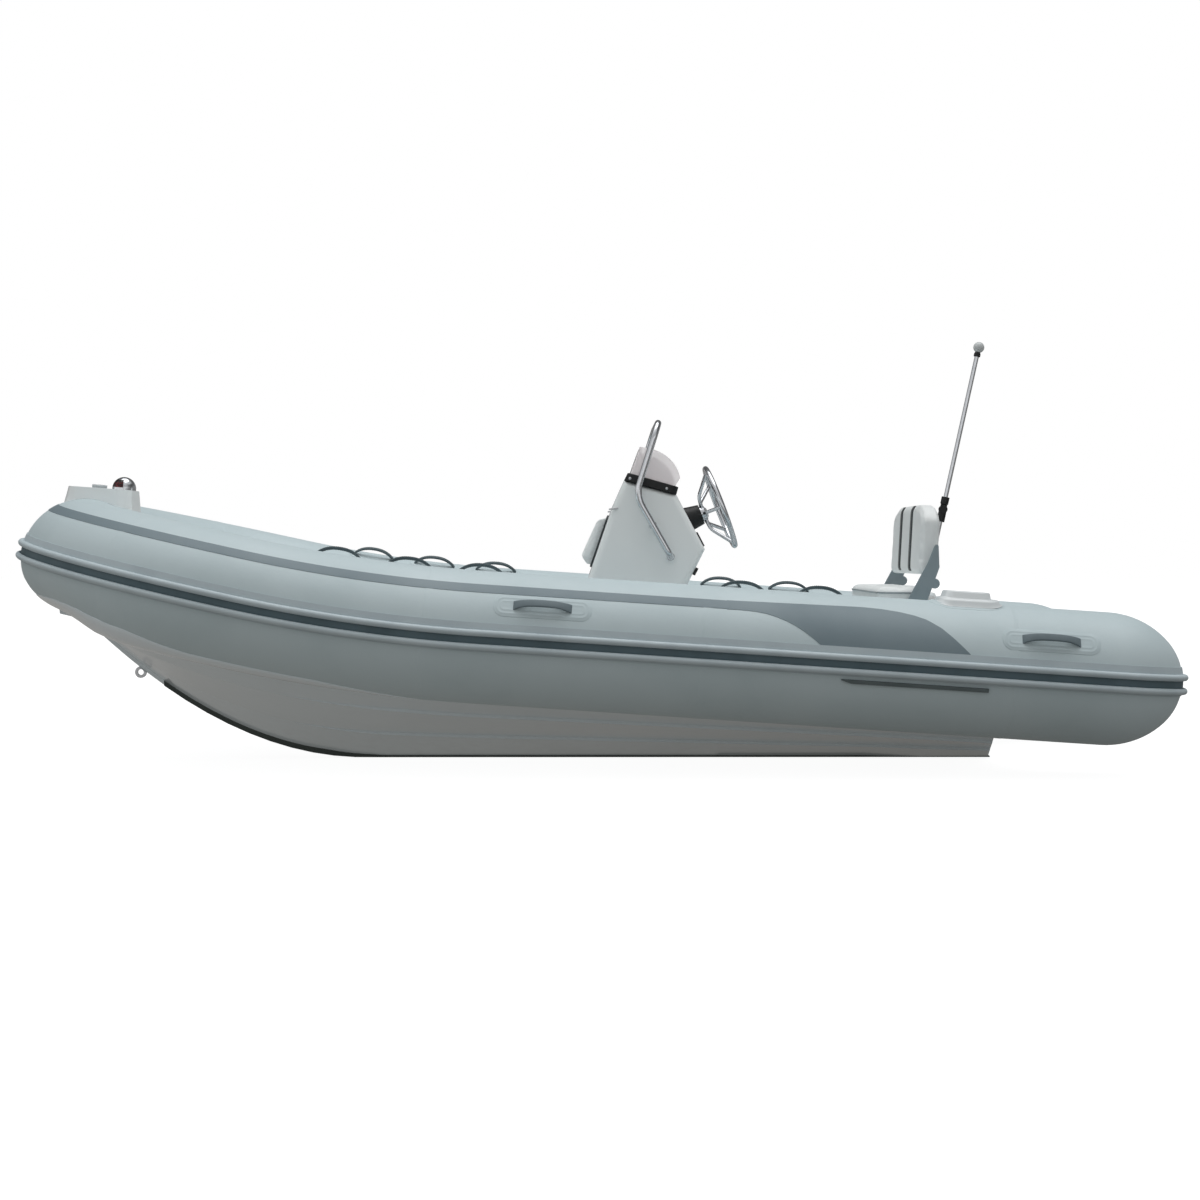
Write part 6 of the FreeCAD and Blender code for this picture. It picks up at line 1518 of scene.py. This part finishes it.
def build_floor():
    """A floor that looks white and throws a soft light on the boat's underside, brighter towards the bow."""
    corners = [(-FLOOR_HALF, -FLOOR_HALF), (FLOOR_HALF, -FLOOR_HALF), (FLOOR_HALF, FLOOR_HALF),
               (-FLOOR_HALF, FLOOR_HALF)]
    mesh = bpy.data.meshes.new("Floor")
    mesh.from_pydata([(x, y, FLOOR_HEIGHT) for x, y in corners], [], [(0, 1, 2, 3)])
    floor = bpy.data.objects.new("Floor", mesh)
    bpy.context.scene.collection.objects.link(floor)
    material = bpy.data.materials.new("Pale floor")
    material.use_nodes = True
    tree = material.node_tree
    tree.nodes.clear()
    seen, _ = ray_kinds(tree)
    place = tree.nodes.new("ShaderNodeTexCoord").outputs["Object"]
    along = add_node(tree, "ShaderNodeSeparateXYZ", None, Vector=place).outputs[0]
    white = lit_shader(tree, SHOWN_GREY, WHITE, SHOWN_GLOW)
    under = lit_shader(tree, UNDER_GREY, UNDER_TINT, stretch(tree, along, -UNDER_REACH, UNDER_REACH, *UNDER_GLOW))
    surface = add_node(tree, "ShaderNodeMixShader", None, i0=seen, i1=under, i2=white).outputs[0]
    add_node(tree, "ShaderNodeOutputMaterial", None, Surface=surface)
    mesh.materials.append(material)


def ramp(tree, value, stops):
    """A smooth curve of strengths through (place, strength) stops."""
    node = tree.nodes.new("ShaderNodeValToRGB")
    tree.links.new(value, node.inputs[0])
    points = node.color_ramp.elements
    while len(points) < len(stops):
        points.new(0.5)
    for point, (place, strength) in zip(points, stops):
        point.position = place
        point.color = (strength, strength, strength, 1)
    return node.outputs[0]


SOFT_STOPS = ((0.0, 0.10), (0.48, 0.18), (0.60, 0.40), (1.0, 0.74))
MIRROR_STOPS = ((0.0, 0.08), (0.44, 0.26), (0.50, 0.80), (0.58, 0.95), (0.70, 0.45), (1.0, 0.90))
WINDOW_DIRECTION = (0.48, 0.84, 0.25)
WINDOW_STOPS = ((0.0, 0.34), (0.36, 0.16), (0.56, 0.36), (0.74, 1.0), (1.0, 1.0))
SUN_ENERGY, SUN_ANGLE, SUN_DIRECTION = 1.14, math.radians(50), Vector((0.08, 0.08, -1.0))
SOFTBOX_ENERGY, SOFTBOX_SIZE, SOFTBOX_PLACE = 9.0, 2.6, (0.30, 0.0, 3.30)


def add_lamp(name, kind, energy):
    lamp = bpy.data.objects.new(name, bpy.data.lights.new(name, kind))
    lamp.data.energy = energy
    bpy.context.scene.collection.objects.link(lamp)
    return lamp


def build_light():
    """A white backdrop, a soft sky for the light, a sharper one for reflections, and two lamps above."""
    world = bpy.data.worlds.new("Studio")
    world.use_nodes = True
    bpy.context.scene.world = world
    tree = world.node_tree
    direction = tree.nodes.new("ShaderNodeTexCoord").outputs["Generated"]
    height = add_node(tree, "ShaderNodeSeparateXYZ", None, Vector=direction).outputs[2]
    share = stretch(tree, height, -1.0, 1.0)
    window = add_node(tree, "ShaderNodeVectorMath", {"operation": "DOT_PRODUCT"}, i0=direction, i1=WINDOW_DIRECTION)
    facing = ramp(tree, stretch(tree, window.outputs["Value"], -1.0, 1.0), WINDOW_STOPS)
    mirror = combine(tree, "MULTIPLY", ramp(tree, share, MIRROR_STOPS), facing)
    seen, glossy = ray_kinds(tree)
    unseen = blend_colours(tree, glossy, ramp(tree, share, SOFT_STOPS), mirror)
    tree.links.new(blend_colours(tree, seen, unseen, WHITE), tree.nodes["Background"].inputs["Color"])
    sun = add_lamp("Overhead", "SUN", SUN_ENERGY)
    sun.data.angle = SUN_ANGLE
    sun.rotation_euler = SUN_DIRECTION.to_track_quat("-Z", "Y").to_euler()
    softbox = add_lamp("Softbox", "AREA", SOFTBOX_ENERGY)
    softbox.data.shape = "RECTANGLE"
    softbox.data.size = softbox.data.size_y = SOFTBOX_SIZE
    softbox.location = SOFTBOX_PLACE
    softbox.visible_camera = False


build_floor()
build_light()
